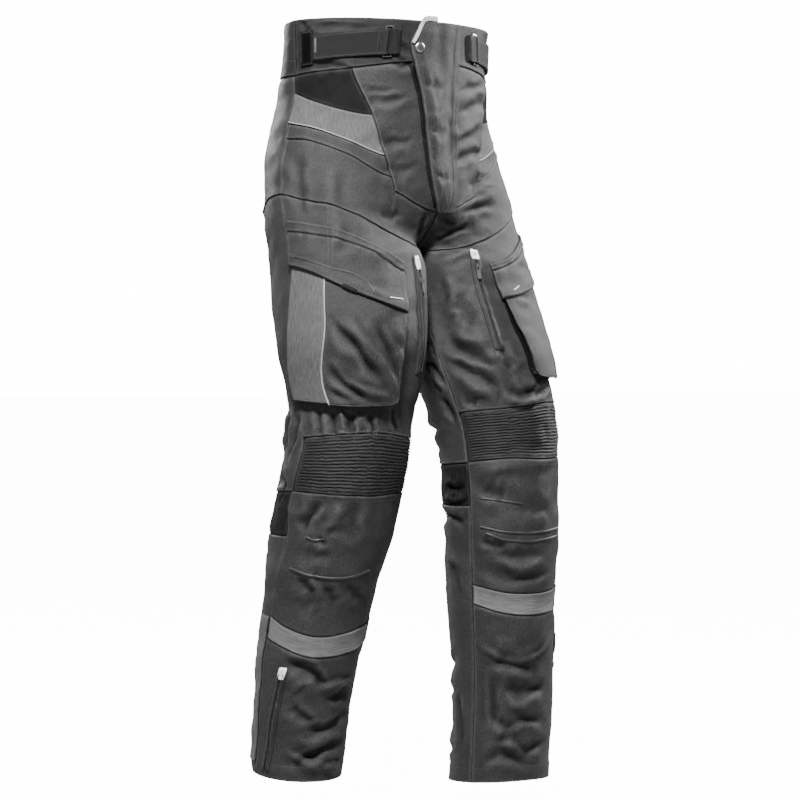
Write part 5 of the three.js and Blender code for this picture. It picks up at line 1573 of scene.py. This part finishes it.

# Fly cover over the middle of the front, and the light tape round its corner
flyPlan = {"gap": 1.1, "thick": 2.4, "puff": 2.0, "girth": 440, "underlap": 1.6, "tape": 6.4,
           "shares": [0, 0.08, 0.25, 0.42, 0.58, 0.75, 0.92, 1],
           "lift": [0, 0.6, 1, 1, 0.8, 0.5, 0.2, 0]}


def crossSurface(turn, down, fold=1.0):
    # the cloth over the middle: turn below 0 lies on the right half
    rightPoints, rightOut = surface("right", np.abs(turn), down, fold)
    leftPoints, leftOut = surface("left", np.abs(turn), down, fold)
    onRight = (turn < 0)[..., None]
    return np.where(onRight, rightPoints, leftPoints), np.where(onRight, rightOut, leftOut)


downs = np.concatenate([[1, 1.6, 2.6, 4.2, 6.5], np.arange(10, 260, 3.6), [262, 264.5, 266.3, 267.4, 268]])
shares = np.concatenate([[0, 0.012, 0.03, 0.055], np.linspace(0.085, 0.915, 24), [0.945, 0.97, 0.988, 1]])
down, share = np.meshgrid(downs, shares, indexing="ij")
reachRight, reachLeft = column(flyEdges, "right", down), column(flyEdges, "left", down)
turn = share * (reachRight + reachLeft) - reachRight
base, out = crossSurface(turn, down, 0.8)
puff = flyPlan["puff"] * np.interp(share, flyPlan["shares"], flyPlan["lift"])
lift = flyPlan["gap"] + flyPlan["thick"] + puff
flyCreases = [
    ([(-18, 60), (-10, 120), (-2, 190)], 8, 0.6),
    ([(16, 70), (12, 130), (4, 200)], 7, -0.6),
    ([(-26, 84), (-12, 90), (6, 88)], 6, -1.2),
    ([(-16, 150), (-2, 158), (10, 150)], 7, -1.3),
    ([(-10, 214), (0, 222), (8, 216)], 6, -1.4),
    ([(-24, 120), (-10, 126), (2, 118)], 6, -1.0),
]


def flyExtra(row, col, x, y, distance):
    across = turn * flyPlan["girth"]
    height = np.zeros(turn.shape)
    for path, width, rise in flyCreases:
        height += creaseHeight(across, down, np.array(path, float), width, rise)
    stitched = -0.5 * np.exp(-(((distance["outer"] - 13) / 1.2) ** 2))
    stitched -= 0.35 * np.exp(-(((distance["inner"] - 8) / 1.2) ** 2))
    return height + stitched + 0.5 * swell.at(across / 20 + 9, down / 26)


net = finishNet("both", "front", downs, shares, turn, down, base + out * lift[..., None], out,
                "turned turned turned over", flyExtra)
net["flip"] = True
net["out"] = gridNormals(net["points"], True)
addCloth("flyCover", net, "black lining", ["fly_cover"], wall=flyPlan["thick"])
sewEdges("seamsLeft", net, {"inner": [2.2, 8.0], "outer": [2.0, 11.0, 15.0], "bottom": [2.2], "top": [2.2]})

# dark underlap along the free edge of the fly cover, in the darkest cloth as a painted shadow in the gap
# under that edge
downs, shares = np.linspace(58, 262, 60), np.linspace(-0.1, 0.05, 6)
down, share = np.meshgrid(downs, shares, indexing="ij")
reachRight, reachLeft = column(flyEdges, "right", down), column(flyEdges, "left", down)
turn = share * (reachRight + reachLeft) - reachRight
base, out = crossSurface(turn, down)
under = finishNet("both", "front", downs, shares, turn, down, base + out * flyPlan["underlap"], out)
under["flip"] = True
addCloth("flyUnderlap", under, "hook lining", (), wall=0.9)

# light tape round the upper corner of the fly cover, between an outer and an inner line
tapePath = np.array([(0.093, 30), (0.082, 20), (0.0685, 7), (0.055, -4), (0.04, -6.5), (0.008, -6.5)], float)
tapeInner = np.array([(0.084, 33), (0.072, 23), (0.062, 13), (0.05, 3), (0.036, 1), (0.008, 1.5)], float)
acrossTape, alongTape = np.linspace(0, 1, 7), np.linspace(0, 5, 26)
shareDown, shareAlong = np.meshgrid(acrossTape, alongTape, indexing="ij")
edgeOne = np.stack([np.interp(shareAlong, range(6), tapePath[:, k]) for k in range(2)])
edgeTwo = np.stack([np.interp(shareAlong, range(6), tapeInner[:, k]) for k in range(2)])
tapeTurn, tapeDown = edgeOne * (1 - shareDown) + edgeTwo * shareDown
base, out = surface("right", tapeTurn, np.maximum(tapeDown, 0), 0.8)
base[..., 2] += np.maximum(-tapeDown, 0)
raised = base + out * flyPlan["tape"]
net = finishNet("right", "front", acrossTape, alongTape, tapeTurn, tapeDown, raised, out)
net["flip"] = True
net["out"] = gridNormals(net["points"], True)
addCloth("flyTape", net, "piping piping", ["fly_tape"], wall=1.2)
print("fly made")

# Hard parts keep their solids, with softened edges and metal finishes
softEdge = {"width": 0.00035, "segments": 2, "angle": 40}
for name, obj in nodes.items():
    kind = "metal" if ("ring" in name and "tab" not in name) or "snap" in name else None
    kind = "darkMetal" if "slider" in name or "pull" in name else kind
    if kind:
        obj.data.materials.clear()
        obj.data.materials.append(materials[kind])
        soft = obj.modifiers.new("softEdges", "BEVEL")
        soft.width = softEdge["width"]
        soft.segments = softEdge["segments"]
        soft.limit_method = "ANGLE"
        soft.angle_limit = math.radians(softEdge["angle"])

# Pin-tucks, darts and piping sewn on the panels
seamwork = [  # name, piece, side, places, half width and height
    ("shinDart", "shinPanel", "right", [(0.438, 689), (0.408, 693), (0.38, 691)], 1.8, 1.5),
    ("shinTuck", "shinPanel", "right", [(0.46, 731), (0.383, 739), (0.31, 741), (0.193, 733)], 1.9, 1.6),
    ("shinDart", "shinPanel", "left", [(0.03, 687), (0.09, 691), (0.16, 695)], 1.6, 1.4),
    ("shinTuckUpper", "shinPanel", "left", [(0.028, 723), (0.095, 729), (0.16, 731), (0.323, 727)], 1.7, 1.4),
    ("shinTuckLower", "shinPanel", "left", [(0.045, 731), (0.1, 739), (0.147, 741), (0.31, 737)], 1.7, 1.4),
    ("flapSeam", "pocketFlap", "right",
     [(0.485, 338), (0.405, 356), (0.335, 373), (0.318, 383), (0.307, 396)], 0.9, 0.7),
    ("flapSeam", "pocketFlap", "left", [(0.46, 340), (0.405, 356), (0.345, 372), (0.325, 388)], 0.9, 0.7),
]
pipings = [("hipPanel", "hipPiping", "piping"), ("hipPocketWelt", "weltCord", "blackThread")]
for name, piece, side, places, halfWidth, height in seamwork:
    net = nets[piece, side]
    line = placeLine(net, places, 1.5)
    addTube(f"{name}{side.capitalize()}", line, halfWidth, height, "blackThread", lift=0.2)
    sew("tucks", placeLine(net, places, 1.5, 3.0))
for side in ("right", "left"):
    for piece, name, finish in pipings:
        line = edgeLine(nets[piece, side], "bottom", 0.4, (1.0, 1.0))
        addTube(f"{name}{side.capitalize()}", line, 0.9, 0.9, finish, lift=0.8)
addThreads("tuckStitches", "tucks", "blackThread")
print("seamwork made")

for side in ("Right", "Left"):
    addThreads(f"seamStitches{side}", f"seams{side}", "thread")
print("stitches made")

def setAxes(obj, sideways, upward, backward, place):
    # puts an object in the scene at a place, with its own x, y and z along three directions
    bpy.context.scene.collection.objects.link(obj)
    matrix = np.eye(4)
    matrix[:3, 0], matrix[:3, 1], matrix[:3, 2] = sideways, upward, backward
    matrix[:3, 3] = place
    obj.matrix_world = mathutils.Matrix(matrix.tolist())


# Camera: a long lens level with the knees, to the front and right of the wearer
view = {"azimuth": 40.0, "elevation": 1.0, "distance": 3.6, "lens": 116.955, "sensor": 36.0,
        "aimDown": 0.526, "aimRight": 0.018}
azimuth, elevation = math.radians(view["azimuth"]), math.radians(view["elevation"])
level = math.cos(elevation)
rightward = np.array([math.cos(azimuth), -math.sin(azimuth), 0.0])
backward = np.array([-math.sin(azimuth) * level, -math.cos(azimuth) * level, math.sin(elevation)])
aim = np.array([0, 0, -view["aimDown"]]) + rightward * view["aimRight"]
cameraData = bpy.data.cameras.new("camera")
cameraData.lens = view["lens"]
cameraData.sensor_width = view["sensor"]
cameraData.clip_end = 100.0
camera = bpy.data.objects.new("camera", cameraData)
setAxes(camera, rightward, np.cross(backward, rightward), backward, aim + backward * view["distance"])
bpy.context.scene.camera = camera

# Floor and lights: a pale floor just under the hems, a bright room, and large soft lights
lights = [  # name, place, aim, width and height in metres, power in watts
    ("keyLight", (-1.2, -1.15, 1.38), (0, 0, -0.3), (0.4, 0.4), 198),
    ("frontFill", (0.2, -1.8, 1.5), (0, 0, 0), (0.5, 0.5), 5),
    ("leftRim", (-2.6, 1.3, 0.7), (-0.1, 0, -0.5), (0.5, 1.6), 12),
    ("rightRim", (2.0, -0.35, 0.75), (0.1, 0, -0.3), (0.35, 0.8), 88),
    ("backFill", (0.5, 2.7, 0.8), (0, 0, -0.4), (0.6, 0.6), 60),
    ("topLight", (0.2, 0.4, 2.4), (0, 0, 0), (1.0, 1.0), 30),
]
for name, place, target, size, power in lights:
    data = bpy.data.lights.new(name, "AREA")
    data.shape = "RECTANGLE"
    data.size, data.size_y = size
    data.energy = power
    toward = unit(np.array(place, float) - np.array(target, float))
    sideways = unit(np.cross([0, 0, 1.0], toward))
    setAxes(bpy.data.objects.new(name, data), sideways, np.cross(toward, sideways), toward, place)

room = {"seen": 16.0, "light": 0.02, "floor": 14.0, "reach": 30.0, "floorHeight": -1.09}
world = bpy.data.worlds.new("room")
world.use_nodes = True
w = Wiring(world.node_tree)
sky = world.node_tree.nodes["Background"]
seen = w.node("ShaderNodeLightPath").outputs["Is Camera Ray"]
strength = w.math("ADD", w.math("MULTIPLY", seen, room["seen"] - room["light"]), room["light"])
w.feed(sky.inputs[0], (1, 1, 1, 1))
w.feed(sky.inputs[1], strength)
bpy.context.scene.world = world

# the floor shines a little for the camera, so that it is as white as the room round its soft shadows
floorMaterial = bpy.data.materials.new("paleFloor")
floorMaterial.use_nodes = True
w = Wiring(floorMaterial.node_tree)
floorShader = floorMaterial.node_tree.nodes["Principled BSDF"]
floorShader.inputs["Base Color"].default_value = (0.3, 0.3, 0.3, 1)
floorShader.inputs["Roughness"].default_value = 0.9
shine = w.math("MULTIPLY", w.node("ShaderNodeLightPath").outputs["Is Camera Ray"], room["floor"])
w.feed(floorShader.inputs["Emission Color"], (1, 1, 1, 1))
w.feed(floorShader.inputs["Emission Strength"], shine)
floorMesh = bpy.data.meshes.new("floor")
reach, floorHeight = room["reach"], room["floorHeight"]
corners = [(x * reach, y * reach, floorHeight) for x, y in ((-1, -1), (1, -1), (1, 1), (-1, 1))]
floorMesh.from_pydata(corners, [], [(0, 1, 2, 3)])
floorMesh.materials.append(floorMaterial)
floor = bpy.data.objects.new("floor", floorMesh)
bpy.context.scene.collection.objects.link(floor)

bpy.context.view_layer.update()
print("cut sizes in metres:", cuts)
